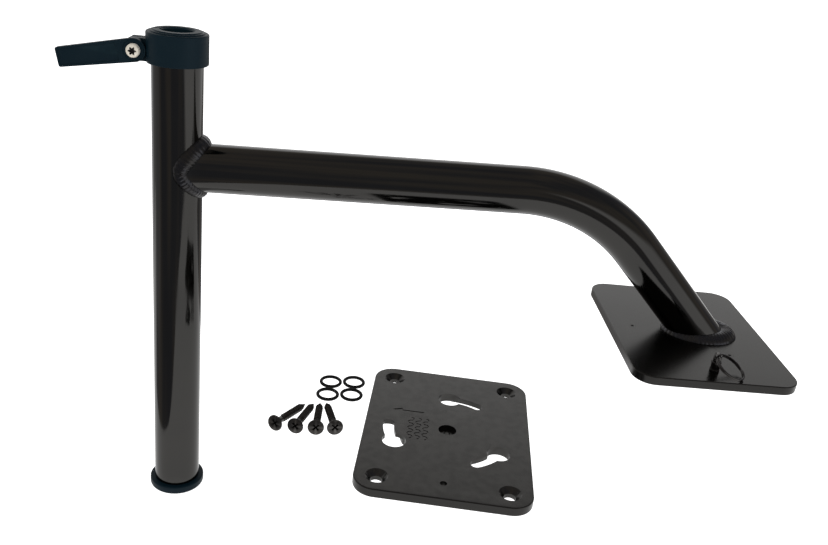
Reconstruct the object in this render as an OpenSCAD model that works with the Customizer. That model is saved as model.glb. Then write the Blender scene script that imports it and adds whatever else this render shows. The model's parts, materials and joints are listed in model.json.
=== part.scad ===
// Removable pole bracket with a twist-lock deck plate.
// Millimetres. Origin: centre of the flange plate's underside, where the bracket
// seats on its deck plate. +X runs from the upright tube towards the flange, +Z is up.

/* [Upright tube] */
// Outside diameter of the upright tube
tube_od = 38.1; // [32:0.1:46]
// Wall of the upright tube
tube_wall = 2; // [1.5:0.1:3]
// Height of the upright tube above the arm's axis
tube_above = 97; // [88:1:140]
// Length of the upright tube below the arm's axis
tube_below = 288; // [200:1:400]
// Diameter of the pole bore through the bushes
pole_bore = 22.6; // [16:0.1:25]

/* [Arm] */
// Outside diameter of the arm tube, a little under the upright's
arm_od = 38.0; // [30:0.1:38]
// Wall of the arm tube
arm_wall = 2; // [1.5:0.1:3]
// Straight length of the arm from the upright's axis to the bend
arm_straight = 271; // [200:1:350]
// Rise of the straight part above level, degrees
arm_rise = 1.5; // [0:0.1:3]
// Centreline radius of the bend
bend_r = 134.5; // [100:0.5:170]
// Angle of the bend, degrees
bend_angle = 47.7; // [40:0.1:58]
// Height of the arm's axis at the upright above the flange's underside
arm_height = 111; // [100:1:150]
// Where the arm's axis meets the flange, past the flange's centre
foot_offset = 8; // [-10:1:15]
// Radius of the weld bead at the upright
bead_upright = 4; // [2:0.1:5]
// Radius of the weld bead at the flange
bead_flange = 3.6; // [2:0.1:5]

/* [Plates] */
// Width of both plates, along the arm
plate_w = 132; // [124:1:170]
// Length of both plates, across the arm
plate_l = 175.5; // [164:0.5:220]
// Thickness of both plates
plate_t = 7.3; // [6.5:0.1:10]
// Corner radius of both plates
plate_corner = 17; // [8:1:22]
// Bevel along the plates' edges
plate_bevel = 0.8; // [0.3:0.1:1.2]
// Distance of the lock pin from the plates' centre
pin_offset = 70; // [60:1:76]

/* [Twist lock] */
// Radius of the circle that the three studs stand on
stud_circle = 47; // [42:0.5:52]
// Turn from the drop-in place to the locked place, degrees
twist_angle = 30; // [26:1:34]
// Stud shank diameter
stud_shank = 7.6; // [6:0.1:9]
// Stud head diameter
stud_head = 17; // [14:0.1:19]
// Stud head thickness
stud_head_t = 2.8; // [2:0.1:3]
// Thickness of the deck plate's lip that the heads catch under
lip_t = 3.3; // [2.8:0.1:3.4]
// Radial clearance of the studs in the keyholes
key_clear = 0.6; // [0.3:0.1:1.0]
// Diameter of the stud's spigot through the flange
stud_spigot = 6; // [4:0.1:7]

/* [Lock pin] */
// Diameter of the pin's tip
pin_d = 4.6; // [4:0.1:5]
// How far the pin's tip stands below the flange
pin_reach = 4; // [3:0.1:5]
// Barrel outside diameter
barrel_od = 7.6; // [7.4:0.1:10]
// Barrel inside diameter
barrel_id = 5.6; // [5.5:0.1:6]
// Barrel height above the flange
barrel_h = 9; // [8.5:0.1:14]
// Height of the eye's centre above the barrel
eye_rise = 3.9; // [3.2:0.1:5]
// Running clearance of the pin, radial
pin_clear = 0.08; // [0.04:0.01:0.1]
// Mean radius of the pull ring
ring_r = 12.35; // [10:0.05:15]
// Thickness of the pull ring across its two coils
ring_w = 2.5; // [2:0.1:2.6]
// Wire diameter of the pull ring
ring_wire = 1.3; // [1:0.1:1.4]
// Compass direction in which the ring lies, degrees from +X
ring_heading = -34.5; // [-60:0.5:0]

/* [Clamp] */
// Wall of the clamp collar round the upright tube
collar_wall = 3.7; // [3:0.1:6]
// Height of the clamp collar's skirt on the tube
collar_skirt = 15.5; // [12:0.5:20]
// Height of the collar's lip above the tube's end
collar_lip = 6.5; // [5:0.1:9]
// Width of the slit through the ears
slit_w = 2; // [1:0.1:3]
// Thickness of one ear
ear_t = 5; // [4:0.1:6]
// Distance of the lever's pivot from the upright tube's wall
pivot_gap = 10.15; // [9.6:0.05:15]
// Height of the lever's pivot above the collar's lower edge
pivot_up = 6; // [5:0.1:8]
// Ear length past the pivot
ear_past = 5.2; // [4.2:0.1:8]
// Ear height
ear_h = 16.5; // [14:0.1:18]
// Radius of the lever's round end
lever_hub_r = 8.6; // [7:0.1:9]
// Length of the lever from its pivot
lever_len = 56; // [40:1:70]
// Height of the lever's free end
lever_tip_h = 14.3; // [10:0.1:16]
// Thickness of the lever
lever_t = 5; // [4:0.1:6]
// Droop of the open lever below level, degrees
lever_droop = 11; // [0:1:15]
// Nominal diameter of the clamp screw
clamp_screw_d = 5; // [4:0.1:5]

/* [Bushes] */
// Length of the upper bush
upper_bush_l = 40; // [20:1:60]
// Length of the foot bush inside the tube
foot_plug_l = 25; // [15:1:40]
// How far the foot's collar stands out past the upright tube
foot_rim = 3.95; // [2:0.05:8]
// Thickness of the foot's collar
foot_t = 7; // [4:0.5:12]

/* [Deck screws and rings] */
// Length of a deck screw
screw_len = 45; // [35:1:50]
// Diameter of a deck screw
screw_d = 6.3; // [5:0.1:6.5]
// Head diameter of a deck screw
screw_head = 13; // [10:0.1:13.4]
// Spacing of the screw holes along X
hole_dx = 97.5; // [94:0.5:104]
// Spacing of the screw holes along Y
hole_dy = 142; // [134:0.5:148]
// Diameter of the screw holes
hole_d = 9; // [7:0.1:9.5]
// Diameter of the countersinks
sink_d = 17; // [14:0.1:17.5]
// Outside diameter of an O-ring
o_ring_od = 19.4; // [16:0.1:19.6]
// Cord diameter of an O-ring
o_ring_cord = 2.8; // [2:0.1:3]

/* [Layout of the loose kit] */
// Deck plate centre, along X
deck_x = -202; // [-215:1:-190]
// Deck plate centre, along Y
deck_y = -72; // [-90:1:-60]
// Top of the deck plate below the flange's underside
deck_drop = 64; // [40:1:90]
// Turn of the deck plate away from its locked place, degrees
deck_turn = -6; // [-12:1:0]

/* [Hidden] */
$fn = 96;
e = 0.01;

tube_r = tube_od / 2;
tube_ri = tube_r - tube_wall;
arm_r = arm_od / 2;
arm_ri = arm_r - arm_wall;

// Centreline of the arm, in the XZ plane: straight, bend, straight to the flange
end_dip = bend_angle - arm_rise;
bend_start = [arm_straight * cos(arm_rise), arm_straight * sin(arm_rise)];
bend_centre = bend_start + bend_r * [sin(arm_rise), -cos(arm_rise)];
bend_end = bend_centre + bend_r * [sin(end_dip), cos(end_dip)];
tail_drop = arm_height + bend_end[1] - plate_t;
tail_run = tail_drop / tan(end_dip);
tail_len = tail_drop / sin(end_dip);
upright_x = foot_offset - bend_end[0] - tail_run;

tube_top = arm_height + tube_above;
tube_bottom = arm_height - tube_below;
collar_r = tube_r + collar_wall;
collar_bottom = tube_top - collar_skirt;
collar_top = tube_top + collar_lip;
pivot_out = tube_r + pivot_gap;
pivot = [upright_x - pivot_out, 0, collar_bottom + pivot_up];
ear_front = slit_w / 2 + ear_t;
lever_gap = 0.2;
lever_back = -ear_front - lever_gap;
lever_front = lever_back - lever_t;
washer_t = 1;
washer_r = clamp_screw_d;
hub_clear = 0.4;
hub_way = lever_hub_r + hub_clear;
clamp_clear = 0.15;
nut_flats = 8;
nut_t = 4;
lip_clear = 0.5;

stud_angles = [60, 180, 300];
stud_spigot_r = stud_spigot / 2;
shank_l = lip_t + 0.3;
key_head_r = stud_head / 2 + key_clear + 0.2;
key_slot_r = stud_shank / 2 + key_clear;
slot_ease = 0.05;

pin_r = pin_d / 2;
pin_at = [0, -pin_offset, 0];
pin_collar_t = 1.2;
pin_shank_r = 1.45;
cap_t = 1.5;
eye_z = plate_t + barrel_h + eye_rise;
eye_hole_r = 1.8;
eye_r = 3;
eye_t = 2.8;
spring_wire = 0.6;
spring_r = (pin_shank_r + barrel_id / 2) / 2;
spring_turns = 5;
ring_rest = plate_t + 0.08;
ring_tilt = asin((eye_z - ring_rest - 1.42) / (2 * ring_r));

deck_top = -deck_drop;
kit_floor = deck_top - plate_t;

// Where each loose screw's head and heading lie, and each ring's centre: x, y, heading
screw_places = [
  [-338, -79, 62],
  [-322, -81, 75],
  [-306, -81, 89],
  [-291, -79, 102]
];
ring_places = [[-298.5, -1], [-278.5, 1], [-300, -22], [-280, -20]];

steel = [0.16, 0.155, 0.15];
plate_grey = [0.28, 0.275, 0.27];
plastic = [0.06, 0.12, 0.15];
bright = [0.8, 0.8, 0.78];
rubber = [0.05, 0.05, 0.05];

// Plate centred on the origin, its underside at z = 0, all edges bevelled
module bevel_plate(w, l, t, r, c) {
  for (swap = [0, 1]) {
    along = swap == 0 ? w - 2 * r : l - 2 * r;
    across = swap == 0 ? l : w;
    rotate([0, 0, 90 * swap])
      translate([-along / 2, 0, 0])
        rotate([90, 0, 90])
          linear_extrude(along)
            polygon([
              [-across / 2 + c, 0], [across / 2 - c, 0], [across / 2, c],
              [across / 2, t - c], [across / 2 - c, t], [-across / 2 + c, t],
              [-across / 2, t - c], [-across / 2, c]
            ]);
  }
  for (sx = [-1, 1])
    for (sy = [-1, 1])
      translate([sx * (w / 2 - r), sy * (l / 2 - r), 0])
        rotate_extrude()
          polygon([[0, 0], [r - c, 0], [r, c], [r, t - c], [r - c, t], [0, t]]);
}

// The arm's solid shape at a given radius, from the upright's axis into the flange
module arm_shape(r, over) {
  translate([upright_x, 0, arm_height]) {
    rotate([0, 90 - arm_rise, 0])
      cylinder(h = arm_straight, r = r);
    translate([bend_centre[0], 0, bend_centre[1]])
      rotate([90, 0, 0])
        rotate([0, 0, 90 - end_dip])
          rotate_extrude(angle = bend_angle)
            translate([bend_r, 0])
              circle(r);
    translate([bend_end[0], 0, bend_end[1]])
      rotate([0, 90 + end_dip, 0])
        cylinder(h = tail_len + over, r = r);
  }
}

// A closed bead swept round a loop: at(a) gives the centre, side(a) a direction in the section
module bead(centres, sides, r) {
  n = len(centres);
  m = 10;
  pts = [
    for (i = [0:n - 1])
      let (
        t0 = centres[(i + 1) % n] - centres[(i + n - 1) % n],
        t = t0 / norm(t0),
        u0 = sides[i] - (sides[i] * t) * t,
        u = u0 / norm(u0),
        v = cross(t, u)
      )
      for (j = [0:m - 1])
        centres[i] + r * (cos(360 * j / m) * u + sin(360 * j / m) * v)
  ];
  faces = [
    for (i = [0:n - 1])
      for (j = [0:m - 1])
        let (i2 = (i + 1) % n, j2 = (j + 1) % m)
          [i * m + j, i2 * m + j, i2 * m + j2, i * m + j2]
  ];
  polyhedron(pts, faces, convexity = 6);
}

function cope_point(a) =
  let (
    up = arm_r * cos(a),
    side = arm_r * sin(a),
    s = (sqrt(tube_r * tube_r - side * side) + up * sin(arm_rise)) / cos(arm_rise)
  )
  [
    upright_x + s * cos(arm_rise) - up * sin(arm_rise),
    side,
    arm_height + s * sin(arm_rise) + up * cos(arm_rise)
  ];

function foot_point(a) = [foot_offset + arm_r * cos(a) / sin(end_dip), arm_r * sin(a), plate_t];

module upright_tube() {
  color(steel)
    translate([upright_x, 0, tube_bottom])
      difference() {
        cylinder(h = tube_above + tube_below, r = tube_r);
        translate([0, 0, -1])
          cylinder(h = tube_above + tube_below + 2, r = tube_ri);
      }
}

module arm_tube() {
  color(steel)
    difference() {
      arm_shape(arm_r, arm_od);
      arm_shape(arm_ri, arm_od);
      translate([upright_x, 0, tube_bottom])
        cylinder(h = tube_above + tube_below, r = tube_r);
      translate([-plate_w, -plate_l / 2, plate_t - 2 * arm_od])
        cube([2 * plate_w, plate_l, 2 * arm_od]);
    }
}

module upright_weld() {
  color(steel)
    bead(
      [for (i = [0:47]) cope_point(7.5 * i)],
      [for (i = [0:47]) [0, sin(7.5 * i), cos(7.5 * i)]],
      bead_upright
    );
}

module arm_foot_weld() {
  color(steel)
    bead(
      [for (i = [0:47]) foot_point(7.5 * i)],
      [for (i = [0:47]) [0, 0, 1]],
      bead_flange
    );
}

module flange_plate() {
  color(plate_grey)
    difference() {
      bevel_plate(plate_w, plate_l, plate_t, plate_corner, plate_bevel);
      for (a = stud_angles)
        rotate([0, 0, a])
          translate([stud_circle, 0, -1])
            cylinder(h = plate_t + 2, r = stud_spigot_r);
      translate(pin_at - [0, 0, 1])
        cylinder(h = plate_t + 2, r = pin_r + pin_clear);
    }
}

// Headed stud: spigot through the flange, shank in the lip, head under the lip
module twist_stud(a) {
  color(bright)
    rotate([0, 0, a])
      translate([stud_circle, 0, 0])
        difference() {
          union() {
            translate([0, 0, -e])
              cylinder(h = plate_t + e, r = stud_spigot_r);
            translate([0, 0, -shank_l])
              cylinder(h = shank_l, r = stud_shank / 2);
            translate([0, 0, -shank_l - stud_head_t])
              cylinder(h = stud_head_t, r = stud_head / 2);
          }
          translate([0, 0, plate_t - 1.5])
            cylinder(h = 2, r = 1.5, $fn = 6);
        }
}

module lock_pin_barrel() {
  color(steel)
    translate(pin_at + [0, 0, plate_t])
      difference() {
        cylinder(h = barrel_h, r = barrel_od / 2);
        translate([0, 0, -1])
          cylinder(h = barrel_h - cap_t + 1, r = barrel_id / 2);
        cylinder(h = barrel_h + 1, r = pin_shank_r + pin_clear);
      }
}

// Pin with a tapered tip, a spring collar, a thin shank and a flattened eye
module lock_pin() {
  tip_l = 1;
  collar_z = plate_t + 0.05;
  head_z = plate_t + barrel_h + 0.2;
  color(steel)
    translate(pin_at)
      difference() {
        union() {
          rotate_extrude()
            polygon([
              [0, -pin_reach], [pin_r - 0.8, -pin_reach], [pin_r, -pin_reach + tip_l],
              [pin_r, collar_z], [barrel_id / 2 - 0.1, collar_z],
              [barrel_id / 2 - 0.1, collar_z + pin_collar_t],
              [pin_shank_r, collar_z + pin_collar_t], [pin_shank_r, head_z + 0.5], [0, head_z + 0.5]
            ]);
          intersection() {
            translate([0, 0, head_z])
              cylinder(h = eye_z - head_z + eye_r, r = eye_r);
            rotate([0, 0, ring_heading])
              translate([-eye_r, -eye_t / 2, head_z])
                cube([2 * eye_r, eye_t, eye_z - head_z + eye_r]);
          }
        }
        translate([0, 0, eye_z])
          rotate([90, 0, ring_heading])
            cylinder(h = 4 * eye_r, r = eye_hole_r, center = true);
      }
}

// Coil spring round the pin's shank, between its collar and the barrel's cap
module lock_pin_spring() {
  steps = 16 * spring_turns;
  sides = 6;
  wire_r = spring_wire / 2;
  z0 = plate_t + 0.05 + pin_collar_t + wire_r + 0.05;
  z1 = plate_t + barrel_h - cap_t - wire_r - 0.05;
  pts = [
    for (i = [0:steps])
      let (a = 360 * spring_turns * i / steps, z = z0 + (z1 - z0) * i / steps)
        for (j = [0:sides - 1])
          let (w = 360 * j / sides, d = spring_r + wire_r * cos(w))
            [d * cos(a), d * sin(a), z + wire_r * sin(w)]
  ];
  tube_faces = [
    for (i = [0:steps - 1])
      for (j = [0:sides - 1])
        let (j2 = (j + 1) % sides)
          [i * sides + j, i * sides + j2, (i + 1) * sides + j2, (i + 1) * sides + j]
  ];
  start_face = [[for (j = [0:sides - 1]) sides - 1 - j]];
  end_face = [[for (j = [0:sides - 1]) steps * sides + j]];
  color(bright)
    translate(pin_at)
      polyhedron(pts, concat(tube_faces, start_face, end_face), convexity = 10);
}

module pull_ring() {
  color(steel)
    translate(pin_at + [0, 0, eye_z])
      rotate([0, ring_tilt, ring_heading])
        translate([ring_r, 0, 0])
          rotate_extrude()
            translate([ring_r, 0])
              square([ring_wire, ring_w], center = true);
}

// Split collar: skirt on the tube, lip over its end, two ears with a slit between
module clamp_collar() {
  step_h = 1.7;
  color(plastic)
    difference() {
      union() {
        translate([upright_x, 0, collar_bottom])
          rotate_extrude()
            polygon([
              [0, 0], [collar_r, 0], [collar_r, collar_top - collar_bottom - step_h - 1],
              [collar_r - 1, collar_top - collar_bottom - step_h],
              [tube_r - 1.5, collar_top - collar_bottom - step_h],
              [tube_r - 2.5, collar_top - collar_bottom], [0, collar_top - collar_bottom]
            ]);
        translate([pivot[0] - ear_past, -ear_front, pivot[2] - ear_h / 2])
          cube([pivot_out + ear_past - tube_r + 1, 2 * ear_front, ear_h]);
      }
      translate([upright_x, 0, pivot[2] - ear_h])
        cylinder(h = tube_top - pivot[2] + ear_h, r = tube_r);
      translate([upright_x, 0, tube_top - 1])
        cylinder(h = collar_lip + 2, r = pole_bore / 2 + lip_clear);
      translate([pivot[0] - ear_past - 1, -slit_w / 2, pivot[2] - ear_h])
        cube([pivot_out + ear_past + 1, slit_w, 3 * ear_h]);
      translate([pivot[0] - hub_way, -ear_front - 2 * collar_r, collar_bottom - 1])
        cube([2 * hub_way, 2 * collar_r, pivot_up + 1]);
      translate([pivot[0], 0, pivot[2]])
        rotate([90, 0, 0]) {
          cylinder(h = 4 * ear_front, r = clamp_screw_d / 2 + clamp_clear, center = true);
          translate([0, 0, ear_front])
            cylinder(h = 2 * collar_r, r = hub_way);
          translate([0, 0, -ear_front - 1])
            cylinder(h = nut_t, r = nut_flats / sqrt(3) + clamp_clear, $fn = 6);
        }
    }
}

// Flat lever, round at the pivot and square at its free end
module clamp_lever() {
  rim = 1.2;
  color(plastic)
    translate(pivot)
      rotate([0, -lever_droop, 0])
        translate([0, lever_front, 0])
          rotate([-90, 0, 0])
            difference() {
              union() {
                cylinder(h = lever_t, r = lever_hub_r);
                linear_extrude(lever_t)
                  polygon([
                    [0, -lever_hub_r], [0, lever_hub_r],
                    [-lever_len + 1.5, lever_tip_h / 2], [-lever_len, lever_tip_h / 2 - 1.5],
                    [-lever_len, -lever_tip_h / 2 + 1.5], [-lever_len + 1.5, -lever_tip_h / 2]
                  ]);
              }
              translate([0, 0, -1])
                cylinder(h = lever_t + 2, r = clamp_screw_d / 2 + clamp_clear);
              translate([0, 0, -1])
                linear_extrude(1.5)
                  polygon([
                    [-lever_hub_r - 4, -lever_hub_r + rim + 1.4],
                    [-lever_hub_r - 4, lever_hub_r - rim - 1.4],
                    [-lever_len + rim + 1, lever_tip_h / 2 - rim - 0.6],
                    [-lever_len + rim + 1, -lever_tip_h / 2 + rim + 0.6]
                  ]);
            }
}

module clamp_screw() {
  head_r = clamp_screw_d;
  head_h = 3.2;
  head_y = lever_front - washer_t;
  color(bright)
    translate([pivot[0], head_y, pivot[2]])
      rotate([90, 0, 0])
        difference() {
          union() {
            rotate_extrude()
              polygon([
                [0, 0], [head_r, 0], [head_r, head_h - 1.6],
                for (a = [0:15:75]) [head_r - 1.6 + 1.6 * cos(a), head_h - 1.6 + 1.6 * sin(a)],
                [head_r - 1.6, head_h], [0, head_h]
              ]);
            translate([0, 0, head_y - ear_front])
              cylinder(h = ear_front - head_y + e, r = clamp_screw_d / 2);
          }
          for (a = [0, 60, 120])
            rotate([0, 0, a])
              translate([0, 0, head_h])
                cube([4.2, 1.4, 3], center = true);
        }
}

module clamp_washer() {
  color(bright)
    translate([pivot[0], lever_front, pivot[2]])
      rotate([90, 0, 0])
        difference() {
          cylinder(h = washer_t, r = washer_r);
          translate([0, 0, -1])
            cylinder(h = washer_t + 2, r = clamp_screw_d / 2 + clamp_clear);
        }
}

module clamp_nut() {
  color(bright)
    translate([pivot[0], ear_front, pivot[2]])
      rotate([90, 0, 0])
        difference() {
          cylinder(h = nut_t - 1, r = nut_flats / sqrt(3), $fn = 6);
          translate([0, 0, -1])
            cylinder(h = nut_t + 1, r = clamp_screw_d / 2);
        }
}

// Sleeve in the tube's top that guides the pole
module upper_bush() {
  color(plastic)
    translate([upright_x, 0, tube_top - upper_bush_l])
      difference() {
        cylinder(h = upper_bush_l, r = tube_ri);
        translate([0, 0, -1])
          cylinder(h = upper_bush_l + 2, r = pole_bore / 2);
      }
}

// Plug in the tube's lower end with a collar that the tube stands on
module foot_bush() {
  r = tube_r + foot_rim;
  color(plastic)
    translate([upright_x, 0, tube_bottom - foot_t])
      rotate_extrude()
        polygon([
          [pole_bore / 2, 0], [r - 1.5, 0], [r, 1.5], [r, foot_t - 1], [r - 1, foot_t],
          [tube_ri, foot_t], [tube_ri, foot_t + foot_plug_l - 2],
          [tube_ri - 1, foot_t + foot_plug_l], [pole_bore / 2, foot_t + foot_plug_l]
        ]);
}

// Keyhole seen from above: a round drop-in hole, then a curved slot, clockwise.
// The slot's round end is a hair wider than the slot, so the two walls cross and don't just touch.
module keyhole(h, hole_r, slot_r) {
  rotate([0, 0, twist_angle])
    translate([stud_circle, 0, 0])
      cylinder(h = h, r = hole_r + slot_ease);
  rotate_extrude(angle = twist_angle)
    translate([stud_circle - slot_r, 0])
      square([2 * slot_r, h]);
  translate([stud_circle, 0, 0])
    cylinder(h = h, r = slot_r + slot_ease);
}

// A stroke of small waves along Y, for the engraved water sign
module wave_stroke(n, r, w, h) {
  for (i = [0:n - 1])
    translate([0, (2 * i + 1 - n) * r, 0])
      difference() {
        cylinder(h = h, r = r + w / 2, $fn = 32);
        translate([0, 0, -1])
          cylinder(h = h + 2, r = r - w / 2, $fn = 32);
        translate([i % 2 == 0 ? 0 : -2 * r, -2 * r, -1])
          cube([2 * r, 4 * r, h + 2]);
      }
}

module deck_plate_shape() {
  engrave = 0.5;
  translate([0, 0, -plate_t])
    difference() {
      bevel_plate(plate_w, plate_l, plate_t, plate_corner, plate_bevel);
      for (sx = [-1, 1])
        for (sy = [-1, 1])
          translate([sx * hole_dx / 2, sy * hole_dy / 2, 0]) {
            translate([0, 0, -1])
              cylinder(h = plate_t + 2, r = hole_d / 2);
            translate([0, 0, plate_t - (sink_d - hole_d) / 2])
              cylinder(h = (sink_d - hole_d) / 2 + e, r1 = hole_d / 2, r2 = sink_d / 2 + e);
          }
      for (a = stud_angles)
        rotate([0, 0, a]) {
          translate([0, 0, -1])
            keyhole(plate_t - lip_t + 1, key_head_r, key_head_r);
          translate([0, 0, -1])
            keyhole(plate_t + 2, key_head_r + slot_ease, key_slot_r);
        }
      translate([0, 0, -1])
        cylinder(h = plate_t + 2, r = 2.6);
      translate([0, 0, plate_t - 3.5])
        cylinder(h = 4, r = 7.2);
      translate([0, -pin_offset, -1])
        cylinder(h = plate_t + 2, r = pin_r + 0.35);
      translate([-20, 21, plate_t - engrave])
        linear_extrude(1)
          polygon([
            [0, -0.9], [0, 0.9], [-18, 0.9], [-18, 3.2], [-26, 0], [-18, -3.2], [-18, -0.9]
          ]);
      for (x = [-29, -22])
        translate([x, -3, plate_t - engrave])
          wave_stroke(7, 2.1, 1, 1);
    }
}

module deck_plate() {
  color(plate_grey)
    translate([deck_x, deck_y, deck_top])
      rotate([0, 0, deck_turn])
        deck_plate_shape();
}

// Countersunk wood screw along +X, its head's face at x = 0
module screw_shape() {
  head_t = (screw_head - screw_d) / 2;
  point_l = 8;
  rotate([0, 90, 0])
    difference() {
      rotate_extrude($fn = 48)
        polygon([
          [0, 0], [screw_head / 2 - 0.2, 0], [screw_head / 2, 0.4], [screw_d / 2, head_t + 0.4],
          [screw_d / 2, screw_len - point_l], [0.9, screw_len - 0.5], [0, screw_len]
        ]);
      for (a = [45, 135])
        rotate([0, 0, a])
          translate([-3.6, -0.7, -1])
            cube([7.2, 1.4, 3.2]);
    }
}

// A loose screw lying on its head's rim and its point
module deck_screw(i) {
  lie = asin((screw_head / 2 - 1) / screw_len);
  place = screw_places[i];
  color(steel)
    translate([place[0], place[1], kit_floor + screw_head / 2 + 0.05])
      rotate([0, lie, place[2]])
        screw_shape();
}

module o_ring(i) {
  place = ring_places[i];
  color(rubber)
    translate([place[0], place[1], kit_floor + o_ring_cord / 2])
      rotate_extrude($fn = 64)
        translate([(o_ring_od - o_ring_cord) / 2, 0])
          circle(o_ring_cord / 2, $fn = 24);
}

upright_tube();
arm_tube();
upright_weld();
arm_foot_weld();
flange_plate();
twist_stud(stud_angles[0]);  // twist_stud_1
twist_stud(stud_angles[1]);  // twist_stud_2
twist_stud(stud_angles[2]);  // twist_stud_3
lock_pin_barrel();
lock_pin();
lock_pin_spring();
pull_ring();
clamp_collar();
clamp_lever();
clamp_screw();
clamp_washer();
clamp_nut();
upper_bush();
foot_bush();
deck_plate();
deck_screw(0);  // deck_screw_1
deck_screw(1);  // deck_screw_2
deck_screw(2);  // deck_screw_3
deck_screw(3);  // deck_screw_4
o_ring(0);  // o_ring_1
o_ring(1);  // o_ring_2
o_ring(2);  // o_ring_3
o_ring(3);  // o_ring_4
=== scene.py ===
import json
import math

import bmesh
import bpy
from mathutils import Matrix, Vector


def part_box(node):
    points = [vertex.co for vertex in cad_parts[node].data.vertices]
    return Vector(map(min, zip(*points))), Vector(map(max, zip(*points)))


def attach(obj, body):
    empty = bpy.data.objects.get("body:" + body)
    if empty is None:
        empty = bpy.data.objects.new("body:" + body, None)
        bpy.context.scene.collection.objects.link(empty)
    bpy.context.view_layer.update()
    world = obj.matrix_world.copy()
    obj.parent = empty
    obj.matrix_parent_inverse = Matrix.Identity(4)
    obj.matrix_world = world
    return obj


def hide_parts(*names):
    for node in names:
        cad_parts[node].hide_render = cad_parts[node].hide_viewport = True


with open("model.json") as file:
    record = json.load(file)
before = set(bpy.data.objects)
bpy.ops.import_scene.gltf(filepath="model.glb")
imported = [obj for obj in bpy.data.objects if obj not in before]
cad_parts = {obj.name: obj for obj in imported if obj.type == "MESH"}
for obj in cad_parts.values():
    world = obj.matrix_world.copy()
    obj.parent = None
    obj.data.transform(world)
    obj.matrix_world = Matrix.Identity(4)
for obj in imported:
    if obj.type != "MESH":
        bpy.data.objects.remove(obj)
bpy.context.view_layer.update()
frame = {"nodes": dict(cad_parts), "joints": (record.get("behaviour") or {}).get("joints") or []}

# ---------------------------------------------------------------- sizes, in millimetres
MM = 0.001
SMOOTH = 128                       # segments round a large turned piece

tube_low, tube_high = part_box("upright_tube")
UPRIGHT_X = (tube_low.x + tube_high.x) / 2 / MM
TUBE_R = (tube_high.x - tube_low.x) / 2 / MM
TUBE_TOP = tube_high.z / MM
TUBE_BOTTOM = tube_low.z / MM
TUBE_WALL = 2.0

ARM_R = 19.0
ARM_WALL = 2.0
ARM_HEIGHT = 111.0
ARM_STRAIGHT = 271.0
ARM_RISE = math.radians(1.5)
BEND_R = 134.5
BEND_ANGLE = math.radians(47.7)

plate_low, plate_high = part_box("flange_plate")
PLATE_W = (plate_high.x - plate_low.x) / MM
PLATE_L = (plate_high.y - plate_low.y) / MM
PLATE_T = (plate_high.z - plate_low.z) / MM
PLATE_CORNER = 17.0
PLATE_ROUND = 0.8

STUD_CIRCLE = 47.0
STUD_ANGLES = (60, 180, 300)
STUD_SPIGOT_R = 3.0
KEY_HEAD_R = 9.3
KEY_SLOT_R = 4.4
TWIST = 30.0
LIP_T = 3.3
PIN_Y = -70.0
PIN_HOLE_R = 2.65

DECK_X = -202.0
DECK_Y = -72.0
DECK_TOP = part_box("deck_plate")[1].z / MM
DECK_TURN = math.radians(-6)
HOLE_DX = 97.5
HOLE_DY = 142.0
HOLE_R = 4.5
CENTRE_HOLE_R = 2.6
COUNTERBORE_R = 7.2
COUNTERBORE_DEEP = 3.5
SINK_R = 8.5
KIT_FLOOR = DECK_TOP - PLATE_T

COLLAR_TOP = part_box("clamp_collar")[1].z / MM
COLLAR_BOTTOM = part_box("clamp_collar")[0].z / MM
COLLAR_R = 22.75
POLE_R = 11.3
EAR_FRONT = 6.0
EAR_H = 16.5
EAR_PAST = 5.2
SLIT = 2.0
PIVOT = next(Vector(j["pos_m"]) / MM for j in frame["joints"] if j["name"] == "lever_swing")
LEVER_BACK = -6.2
LEVER_T = 5.0
LEVER_HUB_R = 8.6
LEVER_LEN = 56.0
LEVER_TIP = 14.3
LEVER_DROOP = math.radians(11)
CLAMP_BOLT_R = 2.5
BOLT_WAY_R = CLAMP_BOLT_R + 0.15     # the screw's way, with its clearance
HUB_CLEAR = 0.4
NUT_WAY_R = 4.77
NUT_DEEP = 3

RING_AT = next(Vector(j["pos_m"]) / MM for j in frame["joints"] if j["name"] == "pull_ring_swing")
RING_R = 12.35
RING_WIRE = 1.3
RING_W = 2.5
RING_HEADING = math.radians(-34.5)
RING_TILT = math.radians(27.49)
BARREL_H = 9.0

SCREW_LEN = 45.0
SCREW_R = 3.15
SCREW_HEAD_R = 6.5
SCREW_PLACES = ((-338, -79, 62), (-322, -81, 75), (-306, -81, 89), (-291, -79, 102))
O_RING_R = 8.3
O_RING_CORD = 1.4


# ---------------------------------------------------------------- shared shader groups
def node_group(name, inputs, outputs):
    """An empty shader group with named sockets; inputs are (name, type, default)."""
    group = bpy.data.node_groups.new(name, "ShaderNodeTree")
    for socket, kind, default in inputs:
        made = group.interface.new_socket(socket, in_out="INPUT", socket_type=kind)
        if default is not None:
            made.default_value = default
    for socket, kind in outputs:
        group.interface.new_socket(socket, in_out="OUTPUT", socket_type=kind)
    return group, group.nodes.new("NodeGroupInput"), group.nodes.new("NodeGroupOutput")


def add(tree, kind, **settings):
    """A new node with its plain settings made."""
    node = tree.nodes.new(kind)
    for key, value in settings.items():
        setattr(node, key, value)
    return node


def maths(tree, operation, a, b):
    """A maths node; each of a and b is a socket or a number."""
    node = add(tree, "ShaderNodeMath", operation=operation)
    for slot, value in enumerate((a, b)):
        if isinstance(value, bpy.types.NodeSocket):
            tree.links.new(value, node.inputs[slot])
        elif value is not None:
            node.inputs[slot].default_value = value
    return node.outputs[0]


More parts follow.
